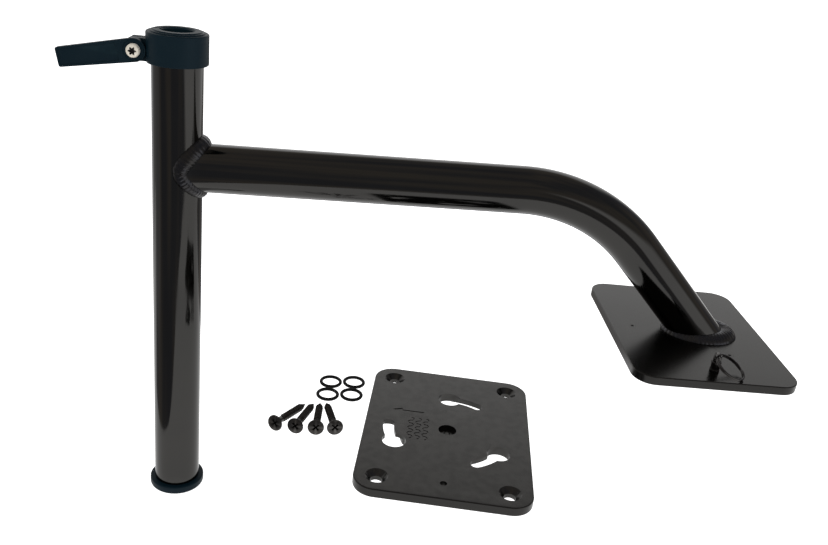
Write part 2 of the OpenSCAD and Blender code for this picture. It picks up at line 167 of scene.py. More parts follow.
def noise(tree, vector, scale, detail=3.0, roughness=0.5):
    """Noise over a vector, as a value from 0 to 1."""
    node = add(tree, "ShaderNodeTexNoise")
    tree.links.new(vector, node.inputs["Vector"])
    if isinstance(scale, bpy.types.NodeSocket):
        tree.links.new(scale, node.inputs["Scale"])
    else:
        node.inputs["Scale"].default_value = scale
    node.inputs["Detail"].default_value = detail
    node.inputs["Roughness"].default_value = roughness
    return node.outputs["Fac"]


def stretched(tree, vector, stretch):
    """A vector multiplied, component by component, by a stretch."""
    node = add(tree, "ShaderNodeVectorMath", operation="MULTIPLY")
    tree.links.new(vector, node.inputs[0])
    if isinstance(stretch, bpy.types.NodeSocket):
        tree.links.new(stretch, node.inputs[1])
    else:
        node.inputs[1].default_value = stretch
    return node.outputs[0]


def span(tree, value, low, high, to_low, to_high):
    """A value mapped from low..high to to_low..to_high, clamped; each may be a socket."""
    node = add(tree, "ShaderNodeMapRange")
    tree.links.new(value, node.inputs["Value"])
    for name, bound in (("From Min", low), ("From Max", high), ("To Min", to_low), ("To Max", to_high)):
        if isinstance(bound, bpy.types.NodeSocket):
            tree.links.new(bound, node.inputs[name])
        else:
            node.inputs[name].default_value = bound
    return node.outputs["Result"]


def blend_colour(tree, mask, a, b):
    """Colour a where the mask is 0 and b where it is 1."""
    node = add(tree, "ShaderNodeMix", data_type="RGBA")
    tree.links.new(mask, node.inputs["Factor"])
    for name, value in (("A", a), ("B", b)):
        socket = next(s for s in node.inputs if s.name == name and s.type == "RGBA")
        if isinstance(value, bpy.types.NodeSocket):
            tree.links.new(value, socket)
        else:
            socket.default_value = (*value, 1)
    return next(s for s in node.outputs if s.type == "RGBA")


def make_grain_group():
    """Fine drawn or brushed lines: a height for bump and a mask for roughness."""
    group, given, out = node_group(
        "drawn_grain",
        [("Vector", "NodeSocketVector", None), ("Stretch", "NodeSocketVector", (1, 1, 1)),
         ("Scale", "NodeSocketFloat", 900.0), ("Patchiness", "NodeSocketFloat", 0.5)],
        [("Height", "NodeSocketFloat"), ("Mask", "NodeSocketFloat")])
    pulled = stretched(group, given.outputs["Vector"], given.outputs["Stretch"])
    fine = noise(group, pulled, given.outputs["Scale"], 2.0)
    coarse = noise(group, pulled, maths(group, "MULTIPLY", given.outputs["Scale"], 0.17), 4.0, 0.6)
    patches = noise(group, given.outputs["Vector"], 24.0, 3.0)
    faded = span(group, patches, 0.35, 0.65, maths(group, "SUBTRACT", 1.0, given.outputs["Patchiness"]), 1.0)
    lines = maths(group, "ADD", maths(group, "MULTIPLY", fine, 0.6), maths(group, "MULTIPLY", coarse, 0.4))
    group.links.new(maths(group, "MULTIPLY", lines, faded), out.inputs["Height"])
    group.links.new(maths(group, "MULTIPLY", coarse, faded), out.inputs["Mask"])
    return group


def make_tone_group():
    """Slow colour drift between two tones, as handling and polishing leave it."""
    group, given, out = node_group(
        "tone_drift",
        [("Vector", "NodeSocketVector", None), ("Base", "NodeSocketColor", (0.1, 0.1, 0.1, 1)),
         ("Drift", "NodeSocketColor", (0.2, 0.2, 0.2, 1)), ("Scale", "NodeSocketFloat", 12.0),
         ("Amount", "NodeSocketFloat", 0.5)],
        [("Color", "NodeSocketColor"), ("Mask", "NodeSocketFloat")])
    cloud = noise(group, given.outputs["Vector"], given.outputs["Scale"], 4.0, 0.6)
    mask = maths(group, "MULTIPLY", span(group, cloud, 0.38, 0.66, 0.0, 1.0), given.outputs["Amount"])
    colour = blend_colour(group, mask, given.outputs["Base"], given.outputs["Drift"])
    group.links.new(colour, out.inputs["Color"])
    group.links.new(mask, out.inputs["Mask"])
    return group


def make_wear_group():
    """A mask of rubbed edges, broken up by a fine noise."""
    group, given, out = node_group(
        "rubbed_edges",
        [("Vector", "NodeSocketVector", None), ("Start", "NodeSocketFloat", 0.53),
         ("Full", "NodeSocketFloat", 0.6), ("Break Up", "NodeSocketFloat", 160.0)],
        [("Mask", "NodeSocketFloat")])
    shape = add(group, "ShaderNodeNewGeometry")
    edge = span(group, shape.outputs["Pointiness"], given.outputs["Start"], given.outputs["Full"], 0.0, 1.0)
    patches = noise(group, given.outputs["Vector"], given.outputs["Break Up"], 3.0)
    broken = span(group, patches, 0.35, 0.6, 0.25, 1.0)
    group.links.new(maths(group, "MULTIPLY", edge, broken), out.inputs["Mask"])
    return group


def make_smudge_group():
    """Roughness that wanders between two values in smudges and fine specks."""
    group, given, out = node_group(
        "smudges",
        [("Vector", "NodeSocketVector", None), ("Low", "NodeSocketFloat", 0.1),
         ("High", "NodeSocketFloat", 0.3), ("Scale", "NodeSocketFloat", 18.0)],
        [("Roughness", "NodeSocketFloat"), ("Specks", "NodeSocketFloat")])
    cloud = noise(group, given.outputs["Vector"], given.outputs["Scale"], 5.0, 0.65)
    group.links.new(
        span(group, cloud, 0.35, 0.7, given.outputs["Low"], given.outputs["High"]), out.inputs["Roughness"])
    dots = noise(group, given.outputs["Vector"], 1400.0, 1.0)
    group.links.new(span(group, dots, 0.7, 0.78, 0.0, 1.0), out.inputs["Specks"])
    return group


GRAIN = make_grain_group()
TONE = make_tone_group()
WEAR = make_wear_group()
SMUDGE = make_smudge_group()


# ---------------------------------------------------------------- finishes
class Finish:
    """A material under construction: a Principled surface and the groups that feed it."""

    def __init__(self, name, metallic, attribute=None):
        self.material = bpy.data.materials.new(name)
        self.material.use_nodes = True
        self.tree = self.material.node_tree
        self.surface = self.tree.nodes["Principled BSDF"]
        self.surface.inputs["Metallic"].default_value = metallic
        if attribute:
            self.place = add(self.tree, "ShaderNodeAttribute", attribute_name=attribute).outputs["Vector"]
        else:
            self.place = add(self.tree, "ShaderNodeTexCoord").outputs["Object"]

    def group(self, tree, **values):
        node = add(self.tree, "ShaderNodeGroup", node_tree=tree)
        self.tree.links.new(self.place, node.inputs["Vector"])
        for key, value in values.items():
            node.inputs[key.replace("_", " ")].default_value = value
        return node

    def link(self, source, target):
        self.tree.links.new(source, self.surface.inputs[target])

    def bump(self, height, distance, strength=1.0):
        node = add(self.tree, "ShaderNodeBump")
        node.inputs["Distance"].default_value = distance
        node.inputs["Strength"].default_value = strength
        self.tree.links.new(height, node.inputs["Height"])
        self.link(node.outputs["Normal"], "Normal")

    def worn_colour(self, base, drift, worn, tone_scale, amount, start=0.53, full=0.6):
        tone = self.group(TONE, Base=(*base, 1), Drift=(*drift, 1), Scale=tone_scale, Amount=amount)
        wear = self.group(WEAR, Start=start, Full=full)
        colour = blend_colour(self.tree, wear.outputs["Mask"], tone.outputs["Color"], worn)
        self.link(colour, "Base Color")


def polished_tube():
    """Dark mirror-polished metal with drawn lines along the tube."""
    finish = Finish("polished_tube", 1.0, attribute="lay")
    finish.worn_colour((0.056, 0.0545, 0.052), (0.050, 0.049, 0.0475), (0.08, 0.078, 0.075), 9.0, 0.8)
    grain = finish.group(GRAIN, Stretch=(1, 1, 0.012), Scale=1500.0, Patchiness=0.7)
    smudge = finish.group(SMUDGE, Low=0.055, High=0.13, Scale=26.0)
    rough = maths(finish.tree, "ADD", smudge.outputs["Roughness"],
                  maths(finish.tree, "MULTIPLY", grain.outputs["Mask"], 0.06))
    finish.link(rough, "Roughness")
    finish.bump(grain.outputs["Height"], 0.00001, 0.35)
    return finish.material


def weld_metal():
    """Weld bead, a little rough, with straw and blue heat tints."""
    finish = Finish("weld_metal", 1.0)
    finish.worn_colour((0.046, 0.044, 0.043), (0.040, 0.043, 0.055),
                       (0.075, 0.073, 0.07), 70.0, 0.7, 0.52, 0.62)
    smudge = finish.group(SMUDGE, Low=0.2, High=0.38, Scale=120.0)
    finish.link(smudge.outputs["Roughness"], "Roughness")
    grain = finish.group(GRAIN, Scale=700.0, Patchiness=0.4)
    finish.bump(grain.outputs["Height"], 0.00012, 0.5)
    return finish.material


def satin_plate():
    """Charcoal satin plate with a faint rolled grain along its length."""
    finish = Finish("satin_plate", 1.0)
    finish.worn_colour((0.045, 0.044, 0.0422), (0.042, 0.041, 0.0394), (0.06, 0.0585, 0.056), 6.0, 0.4)
    grain = finish.group(GRAIN, Stretch=(1, 0.03, 1), Scale=1300.0, Patchiness=0.5)
    smudge = finish.group(SMUDGE, Low=0.235, High=0.25, Scale=16.0)
    rough = maths(finish.tree, "ADD", smudge.outputs["Roughness"],
                  maths(finish.tree, "MULTIPLY", grain.outputs["Mask"], 0.02))
    finish.link(rough, "Roughness")
    finish.bump(grain.outputs["Height"], 0.00001, 0.4)
    return finish.material


def moulded_plastic():
    """Dark blue-black moulded nylon with a fine spark texture."""
    finish = Finish("moulded_plastic", 0.0)
    finish.surface.inputs["Specular IOR Level"].default_value = 0.1
    finish.worn_colour((0.0020, 0.0085, 0.0135), (0.0028, 0.0100, 0.0152), (0.004, 0.013, 0.018), 30.0, 0.7)
    smudge = finish.group(SMUDGE, Low=0.36, High=0.5, Scale=60.0)
    finish.link(smudge.outputs["Roughness"], "Roughness")
    grain = finish.group(GRAIN, Scale=2600.0, Patchiness=0.2)
    finish.bump(grain.outputs["Height"], 0.00004, 0.35)
    return finish.material


def bush_plastic():
    """Black acetal of the pole guide, smoother than the mouldings."""
    finish = Finish("bush_plastic", 0.0)
    finish.surface.inputs["Specular IOR Level"].default_value = 0.25
    finish.worn_colour((0.006, 0.008, 0.010), (0.010, 0.012, 0.014), (0.02, 0.022, 0.024), 40.0, 0.6)
    smudge = finish.group(SMUDGE, Low=0.28, High=0.42, Scale=50.0)
    finish.link(smudge.outputs["Roughness"], "Roughness")
    return finish.material


def bright_steel():
    """Bright stainless of the clamp screw, washer and nut."""
    finish = Finish("bright_steel", 0.2)
    finish.worn_colour((0.66, 0.62, 0.54), (0.52, 0.47, 0.38), (0.74, 0.72, 0.67), 160.0, 0.8)
    smudge = finish.group(SMUDGE, Low=0.30, High=0.45, Scale=240.0)
    finish.link(smudge.outputs["Roughness"], "Roughness")
    grain = finish.group(GRAIN, Scale=2400.0, Patchiness=0.4)
    finish.bump(grain.outputs["Height"], 0.00003, 0.4)
    return finish.material


def pin_metal():
    """Dark turned metal of the lock pin, its barrel and the split ring."""
    finish = Finish("pin_metal", 1.0)
    finish.worn_colour((0.045, 0.043, 0.041), (0.036, 0.035, 0.034),
                       (0.13, 0.125, 0.12), 120.0, 0.8, 0.51, 0.58)
    smudge = finish.group(SMUDGE, Low=0.16, High=0.3, Scale=200.0)
    finish.link(smudge.outputs["Roughness"], "Roughness")
    grain = finish.group(GRAIN, Stretch=(0.05, 0.05, 1), Scale=2200.0, Patchiness=0.3)
    finish.bump(grain.outputs["Height"], 0.00002, 0.4)
    return finish.material


def screw_metal():
    """Blackened steel of the deck screws, also used as painted shade in the clamp screw's recess."""
    finish = Finish("screw_metal", 1.0)
    finish.worn_colour((0.050, 0.047, 0.044), (0.034, 0.032, 0.031),
                       (0.11, 0.105, 0.10), 260.0, 0.8, 0.52, 0.6)
    smudge = finish.group(SMUDGE, Low=0.24, High=0.4, Scale=180.0)
    finish.link(smudge.outputs["Roughness"], "Roughness")
    grain = finish.group(GRAIN, Scale=1800.0, Patchiness=0.3)
    finish.bump(grain.outputs["Height"], 0.00005, 0.5)
    return finish.material


def black_rubber():
    """Matt black rubber of the O-rings, with a trace of dust."""
    finish = Finish("black_rubber", 0.0)
    finish.surface.inputs["Specular IOR Level"].default_value = 0.12
    finish.worn_colour((0.004, 0.004, 0.004), (0.008, 0.008, 0.008), (0.012, 0.012, 0.012), 150.0, 0.7)
    smudge = finish.group(SMUDGE, Low=0.5, High=0.68, Scale=180.0)
    finish.link(smudge.outputs["Roughness"], "Roughness")
    finish.bump(smudge.outputs["Specks"], 0.00003, 0.4)
    return finish.material


TUBE_FINISH = polished_tube()
WELD_FINISH = weld_metal()
PLATE_FINISH = satin_plate()
MOULD_FINISH = moulded_plastic()
BUSH_FINISH = bush_plastic()
BRIGHT_FINISH = bright_steel()
PIN_FINISH = pin_metal()
SCREW_AND_RECESS_SHADE_FINISH = screw_metal()
RUBBER_FINISH = black_rubber()


# ---------------------------------------------------------------- mesh helpers
def linked(name, mesh, finish, crease):
    """Puts a mesh in the scene as an object at the origin, smooth up to the crease angle."""
    shape = bmesh.new()
    shape.from_mesh(mesh)
    bmesh.ops.remove_doubles(shape, verts=shape.verts, dist=1e-7)
    bmesh.ops.recalc_face_normals(shape, faces=shape.faces)
    shape.to_mesh(mesh)
    shape.free()
    mesh.materials.clear()
    mesh.materials.append(finish)
    mesh.shade_smooth()
    mesh.set_sharp_from_angle(angle=math.radians(crease))
    piece = bpy.data.objects.new(name, mesh)
    bpy.context.scene.collection.objects.link(piece)
    return piece


def from_points(name, points, faces, finish, crease=32):
    """A piece from points in millimetres."""
    mesh = bpy.data.meshes.new(name)
    mesh.from_pydata([Vector(p) * MM for p in points], [], faces)
    return linked(name, mesh, finish, crease)


def settle(piece):
    """Turns a piece's live modifiers into its mesh."""
    seen = piece.evaluated_get(bpy.context.evaluated_depsgraph_get())
    shaped = bpy.data.meshes.new_from_object(seen)
    piece.modifiers.clear()
    piece.data = shaped
    return piece


def cut(piece, tools, union=False):
    """Subtracts the tools from a piece one by one, or joins them to it."""
    for tool in tools:
        change = piece.modifiers.new("cut", "BOOLEAN")
        change.operation = "UNION" if union else "DIFFERENCE"
        change.solver = "EXACT"
        change.object = tool
        settle(piece)
        bpy.data.objects.remove(tool)
    return piece


def soften(piece, width, segments=2, angle=38, crease=60):
    """Rounds a piece's edges by a small width and evens its shading."""
    edge = piece.modifiers.new("edge", "BEVEL")
    edge.width = width * MM
    edge.segments = segments
    edge.limit_method = "ANGLE"
    edge.angle_limit = math.radians(angle)
    edge.use_clamp_overlap = True
    settle(piece)
    piece.data.shade_smooth()
    piece.data.set_sharp_from_angle(angle=math.radians(crease))
    even = piece.modifiers.new("even", "WEIGHTED_NORMAL")
    even.keep_sharp = True
    return settle(piece)


def rounded(corners, steps=6):
    """An outline through corners given as x, y and radius, each corner turned into an arc."""
    outline = []
    for i, (x, y, radius) in enumerate(corners):
        here = Vector((x, y))
        if radius <= 0:
            outline.append(here)
            continue
        back = (Vector(corners[i - 1][:2]) - here).normalized()
        on = (Vector(corners[(i + 1) % len(corners)][:2]) - here).normalized()
        half = back.angle(on) / 2
        middle = here + (back + on).normalized() * radius / math.sin(half)
        first = here + back * radius / math.tan(half) - middle
        last = here + on * radius / math.tan(half) - middle
        start = math.atan2(first.y, first.x)
        sweep = (math.atan2(last.y, last.x) - start + math.pi) % (2 * math.pi) - math.pi
        for k in range(steps + 1):
            a = start + sweep * k / steps
            outline.append(middle + radius * Vector((math.cos(a), math.sin(a))))
    return outline


def revolved(name, profile, finish, place=Matrix(), segments=SMOOTH, crease=32):
    """A turned piece from (radius, height) points; it closes on the axis or on itself."""
    points, rings = [], []
    for radius, height in profile:
        count = 1 if radius < 1e-6 else segments
        rings.append([len(points) + k % count for k in range(segments)])
        for k in range(count):
            a = 2 * math.pi * k / segments
            points.append(place @ Vector((radius * math.cos(a), radius * math.sin(a), height)))
    pairs = list(zip(rings, rings[1:]))
    if profile[0][0] > 1e-6 and profile[-1][0] > 1e-6:
        pairs.append((rings[-1], rings[0]))
    faces = []
    for low, high in pairs:
        for k in range(segments):
            n = (k + 1) % segments
            corners = list(dict.fromkeys((low[k], low[n], high[n], high[k])))
            if len(corners) > 2:
                faces.append(corners)
    return from_points(name, points, faces, finish, crease)


def prism(name, outline, low, high, finish, place=Matrix(), crease=32):
    """A straight prism on a flat outline."""
    n = len(outline)
    points = [place @ Vector((p[0], p[1], z)) for z in (low, high) for p in outline]
    faces = [list(range(n))[::-1], list(range(n, 2 * n))]
    faces += [[k, (k + 1) % n, n + (k + 1) % n, n + k] for k in range(n)]
    return from_points(name, points, faces, finish, crease)


def swept(name, centres, sides, ups, section, finish, crease=60):
    """A section carried along a path of centres, each with its two section directions."""
    n = len(section)
    points = [c + s * u + t * v for c, s, t in zip(centres, sides, ups) for u, v in section]
    faces = []
    for i in range(len(centres) - 1):
        for k in range(n):
            m = (k + 1) % n
            faces.append([i * n + k, i * n + m, (i + 1) * n + m, (i + 1) * n + k])
    faces.append(list(range(n))[::-1])
    faces.append([(len(centres) - 1) * n + k for k in range(n)])
    return from_points(name, points, faces, finish, crease)


def lay_along(piece, places):
    """Stores the drawn direction of a tube: round it in x and y, along it in z."""
    lay = piece.data.attributes.new("lay", "FLOAT_VECTOR", "POINT")
    for slot, place in zip(lay.data, places):
        slot.vector = place


# ---------------------------------------------------------------- tubes
def upright_tube():
    ease = 0.4
    inner = TUBE_R - TUBE_WALL
    profile = [(inner, TUBE_BOTTOM + ease), (inner + ease, TUBE_BOTTOM), (TUBE_R - ease, TUBE_BOTTOM),
               (TUBE_R, TUBE_BOTTOM + ease)]
    steps = 24
    for k in range(1, steps):
        profile.append((TUBE_R, TUBE_BOTTOM + (TUBE_TOP - TUBE_BOTTOM) * k / steps))
    profile += [(TUBE_R, TUBE_TOP - ease), (TUBE_R - ease, TUBE_TOP), (inner + ease, TUBE_TOP),
                (inner, TUBE_TOP - ease)]
    tube = revolved("upright_tube_polished", profile, TUBE_FINISH, Matrix.Translation((UPRIGHT_X, 0, 0)))
    centre = Vector((UPRIGHT_X * MM, 0, 0))
    lay_along(tube, [v.co - centre for v in tube.data.vertices])
    return tube


END_DIP = BEND_ANGLE - ARM_RISE
ARM_START = Vector((UPRIGHT_X, 0, ARM_HEIGHT))
ARM_AHEAD = Vector((math.cos(ARM_RISE), 0, math.sin(ARM_RISE)))
ARM_UP = Vector((-math.sin(ARM_RISE), 0, math.cos(ARM_RISE)))
ACROSS = Vector((0, 1, 0))
BEND_START = ARM_START + ARM_STRAIGHT * ARM_AHEAD
BEND_CENTRE = BEND_START - BEND_R * ARM_UP
TAIL_UP = Vector((math.sin(END_DIP), 0, math.cos(END_DIP)))
TAIL_AHEAD = Vector((math.cos(END_DIP), 0, -math.sin(END_DIP)))
BEND_END = BEND_CENTRE + BEND_R * TAIL_UP
FOOT_CENTRE = BEND_END + TAIL_AHEAD * (BEND_END.z - PLATE_T) / math.sin(END_DIP)


def cope_point(a, radius):
    """Where the arm's wall line at angle a meets the upright."""
    side = radius * math.sin(a)
    up = radius * math.cos(a)
    reach = (math.sqrt(TUBE_R ** 2 - side ** 2) + up * math.sin(ARM_RISE)) / math.cos(ARM_RISE)
    return ARM_START + reach * ARM_AHEAD + up * ARM_UP + side * ACROSS


def foot_point(a, radius):
    """Where the arm's wall line at angle a meets the flange's top face."""
    start = BEND_END + radius * math.cos(a) * TAIL_UP + radius * math.sin(a) * ACROSS
    return start + TAIL_AHEAD * (start.z - PLATE_T) / math.sin(END_DIP)


def arm_ring(station, radius, count):
    """One ring of the arm's wall; a station runs 0 to 1 straight, 1 to 2 bend, 2 to 3 tail."""
    ring = []
    for k in range(count):
        a = 2 * math.pi * k / count
        up, side = radius * math.cos(a), radius * math.sin(a)
        if station < 1:
            far = BEND_START + up * ARM_UP + side * ACROSS
            ring.append(cope_point(a, radius).lerp(far, station))
        elif station <= 2:
            turn = ARM_RISE - (station - 1) * BEND_ANGLE
            out = Vector((-math.sin(turn), 0, math.cos(turn)))
            ring.append(BEND_CENTRE + (BEND_R + up) * out + side * ACROSS)
        else:
            near = BEND_END + up * TAIL_UP + side * ACROSS
            ring.append(near.lerp(foot_point(a, radius), station - 2))
    return ring


def arm_tube():
    count, straight, bend, tail = 96, 16, 40, 8
    stations = [i / straight for i in range(straight)]
    stations += [1 + i / bend for i in range(bend + 1)]
    stations += [2 + (i + 1) / tail for i in range(tail)]
    lengths = (ARM_STRAIGHT, BEND_R * BEND_ANGLE, (FOOT_CENTRE - BEND_END).length)
    points, lay = [], []
    for radius, order in ((ARM_R, stations), (ARM_R - ARM_WALL, stations[::-1])):
        for station in order:
            points += arm_ring(station, radius, count)
            part = min(int(station), 2)
            along = sum(lengths[:part]) + (station - part) * lengths[part]
            for k in range(count):
                a = 2 * math.pi * k / count
                lay.append(Vector((radius * math.cos(a), radius * math.sin(a), along)) * MM)
    rings = 2 * len(stations)
    faces = []
    for i in range(rings):
        j = (i + 1) % rings
        for k in range(count):
            n = (k + 1) % count
            faces.append([i * count + k, i * count + n, j * count + n, j * count + k])
    arm = from_points("arm_tube_polished", points, faces, TUBE_FINISH, 40)
    lay_along(arm, lay)
    return arm


# ---------------------------------------------------------------- weld beads, by Geometry Nodes
def bead_tree():
    """A bead along a closed path, with stacked crescent ripples that lean along the run."""
    tree = bpy.data.node_groups.new("weld_bead", "GeometryNodeTree")
    for name, kind, default in (
            ("Geometry", "NodeSocketGeometry", None), ("Bead Radius", "NodeSocketFloat", 0.004),
            ("Ripples", "NodeSocketInt", 70), ("Rings Per Ripple", "NodeSocketInt", 7),
            ("Sides", "NodeSocketInt", 20), ("Ripple Height", "NodeSocketFloat", 0.0004),
            ("Lean", "NodeSocketFloat", 1.2), ("Unevenness", "NodeSocketFloat", 0.0011),
            ("Finish", "NodeSocketMaterial", None)):
        made = tree.interface.new_socket(name, in_out="INPUT", socket_type=kind)
        if default is not None:
            made.default_value = default
    tree.interface.new_socket("Geometry", in_out="OUTPUT", socket_type="NodeSocketGeometry")
    given = add(tree, "NodeGroupInput")
    out = add(tree, "NodeGroupOutput")
    link = tree.links.new

    def named(kind, name):
        node = add(tree, "GeometryNodeInputNamedAttribute", data_type=kind)
        node.inputs["Name"].default_value = name
        return node.outputs["Attribute"]

    def stored(geometry, kind, name, value):
        node = add(tree, "GeometryNodeStoreNamedAttribute", data_type=kind, domain="POINT")
        node.inputs["Name"].default_value = name
        link(geometry, node.inputs["Geometry"])
        link(value, node.inputs["Value"])
        return node.outputs["Geometry"]

    def vector(operation, a, b=None, scale=None):
        node = add(tree, "ShaderNodeVectorMath", operation=operation)
        link(a, node.inputs[0])
        if b is not None:
            link(b, node.inputs[1])
        if scale is not None:
            link(scale, node.inputs["Scale"])
        return node

    path = add(tree, "GeometryNodeMeshToCurve")
    link(given.outputs["Geometry"], path.inputs["Mesh"])
    even = add(tree, "GeometryNodeResampleCurve")
    link(path.outputs["Curve"], even.inputs["Curve"])
    count = maths(tree, "MULTIPLY", given.outputs["Ripples"], given.outputs["Rings Per Ripple"])
    link(count, even.inputs["Count"])
    run = maths(tree, "MULTIPLY", add(tree, "GeometryNodeSplineParameter").outputs["Factor"],
                given.outputs["Ripples"])
    curve = stored(even.outputs["Curve"], "FLOAT", "run", run)
    curve = stored(curve, "FLOAT_VECTOR", "spine", add(tree, "GeometryNodeInputPosition").outputs[0])
    ring = add(tree, "GeometryNodeCurvePrimitiveCircle")
    link(given.outputs["Sides"], ring.inputs["Resolution"])
    link(given.outputs["Bead Radius"], ring.inputs["Radius"])
    skin = add(tree, "GeometryNodeCurveToMesh")
    link(curve, skin.inputs["Curve"])
    link(ring.outputs["Curve"], skin.inputs["Profile Curve"])

    position = add(tree, "GeometryNodeInputPosition").outputs[0]
    from_spine = vector("SUBTRACT", position, named("FLOAT_VECTOR", "spine")).outputs[0]
    away = vector("NORMALIZE", from_spine).outputs[0]
    facing = vector("DOT_PRODUCT", away, named("FLOAT_VECTOR", "outward")).outputs["Value"]
    lag = maths(tree, "MULTIPLY", maths(tree, "SUBTRACT", 1.0, facing), given.outputs["Lean"])
    phase = maths(tree, "SUBTRACT", named("FLOAT", "run"), lag)
    wave = maths(tree, "ABSOLUTE", maths(tree, "SINE", maths(tree, "MULTIPLY", phase, math.pi), 0.0), 0.0)
    ripple = maths(tree, "MULTIPLY", maths(tree, "POWER", wave, 0.6), given.outputs["Ripple Height"])
    lumps = maths(tree, "SUBTRACT", noise(tree, position, 130.0, 2.0), 0.5)
    lumps = maths(tree, "MULTIPLY", lumps, given.outputs["Unevenness"])
    swell = maths(tree, "MULTIPLY", named("FLOAT", "swell"), given.outputs["Bead Radius"])
    push = maths(tree, "ADD", maths(tree, "ADD", ripple, lumps), swell)
    moved = add(tree, "GeometryNodeSetPosition")
    link(skin.outputs["Mesh"], moved.inputs["Geometry"])
    link(vector("SCALE", away, scale=push).outputs[0], moved.inputs["Offset"])
    smooth = add(tree, "GeometryNodeSetShadeSmooth")
    link(moved.outputs["Geometry"], smooth.inputs["Geometry"])
    real = add(tree, "GeometryNodeRealizeInstances")
    link(smooth.outputs["Geometry"], real.inputs["Geometry"])
    dressed = add(tree, "GeometryNodeSetMaterial")
    link(real.outputs["Geometry"], dressed.inputs["Geometry"])
    link(given.outputs["Finish"], dressed.inputs["Material"])
    link(dressed.outputs["Geometry"], out.inputs["Geometry"])
    return tree


def run_tree(piece, tree, **values):
    """Runs a node tree on a piece with its named inputs, and keeps the mesh it makes."""
    nodes = piece.modifiers.new("made", "NODES")
    nodes.node_group = tree
    sockets = {s.name: s.identifier for s in tree.interface.items_tree if s.in_out == "INPUT"}
    for key, value in values.items():
        nodes[sockets[key.replace("_", " ")]] = value
    return settle(piece)


BEAD_TREE = bead_tree()


def weld_bead(name, path, outward, swell, radius, ripples):
    """A weld bead round a closed path; outward points from the corner, swell widens it."""
    mesh = bpy.data.meshes.new(name)
    n = len(path)
    mesh.from_pydata([p * MM for p in path], [(k, (k + 1) % n) for k in range(n)], [])
    for key, kind, values in (("outward", "FLOAT_VECTOR", outward), ("swell", "FLOAT", swell)):
        store = mesh.attributes.new(key, kind, "POINT")
        for slot, value in zip(store.data, values):
            setattr(slot, "vector" if kind == "FLOAT_VECTOR" else "value", value)
    bead = bpy.data.objects.new(name, mesh)
    bpy.context.scene.collection.objects.link(bead)
    run_tree(bead, BEAD_TREE, Bead_Radius=radius * MM, Ripples=ripples, Finish=WELD_FINISH)
    bead.data.materials.clear()
    bead.data.materials.append(WELD_FINISH)
    return bead


def upright_weld():
    steps = 180
    turns = [2 * math.pi * k / steps for k in range(steps)]
    side_r, top_r, low_r = 6.4, 8.8, 5.6
    side_in, top_in, low_in = 4.0, 3.0, 1.6
    tip_fill = 4.5
    path, outward, swell = [], [], []
    for a in turns:
        corner = cope_point(a, ARM_R)
        from_tube = Vector((corner.x - UPRIGHT_X, corner.y, 0)).normalized()
        from_arm = (math.cos(a) * ARM_UP + math.sin(a) * ACROSS).normalized()
        out = (from_tube + from_arm).normalized()
        square = abs(math.cos(a))
        radius = side_r + square * ((top_r if math.cos(a) > 0 else low_r) - side_r)
        sunk = side_in + square * ((top_in if math.cos(a) > 0 else low_in) - side_in)
        path.append(corner - sunk * out + tip_fill * (1 - square) ** 2 * ARM_AHEAD)
        outward.append(out)
        swell.append(radius / side_r - 1)
    return weld_bead("upright_weld_bead", path, outward, swell, side_r, 48)


def foot_weld():
    steps = 180
    turns = [2 * math.pi * k / steps for k in range(steps)]
    near_r, far_r, sunk = 6.0, 9.5, 3.0
    path, outward, swell = [], [], []
    for a in turns:
        from_arm = (math.cos(a) * TAIL_UP + math.sin(a) * ACROSS).normalized()
        out = (from_arm + Vector((0, 0, 1))).normalized()
        open_side = (1 + math.cos(a)) / 2
        path.append(foot_point(a, ARM_R) - sunk * out)
        outward.append(out)
        swell.append((far_r / near_r - 1) * open_side)
    return weld_bead("arm_foot_weld_bead", path, outward, swell, near_r, 46)


# ---------------------------------------------------------------- plates
def plate_outline(inset):
    radius = PLATE_CORNER - inset
    x, y = PLATE_W / 2 - inset, PLATE_L / 2 - inset
    return rounded([(x, y, radius), (-x, y, radius), (-x, -y, radius), (x, -y, radius)], 14)


def blank_plate(name, place):
    """A plate with rounded corners and a small round along every edge."""
    levels, arc = [], 4
    for k in range(arc + 1):
        a = math.pi / 2 * k / arc
        levels.append((PLATE_ROUND * (1 - math.sin(a)), PLATE_ROUND * (1 - math.cos(a))))
    levels += [(inset, PLATE_T - z) for inset, z in levels[::-1]]
    points, faces = [], []
    for inset, z in levels:
        points += [place @ Vector((p.x, p.y, z)) for p in plate_outline(inset)]
    n = len(plate_outline(0))
    for i in range(len(levels) - 1):
        for k in range(n):
            m = (k + 1) % n
            faces.append([i * n + k, i * n + m, (i + 1) * n + m, (i + 1) * n + k])
    faces.append(list(range(n))[::-1])
    faces.append([(len(levels) - 1) * n + k for k in range(n)])
    return from_points(name, points, faces, PLATE_FINISH, 40)


def drill(radius, x, y, low, high, place, segments=64):
    """A plain round cutting tool."""
    at = place @ Matrix.Translation((x, y, 0))
    return revolved("tool", [(0, low), (radius, low), (radius, high), (0, high)], PLATE_FINISH, at, segments)


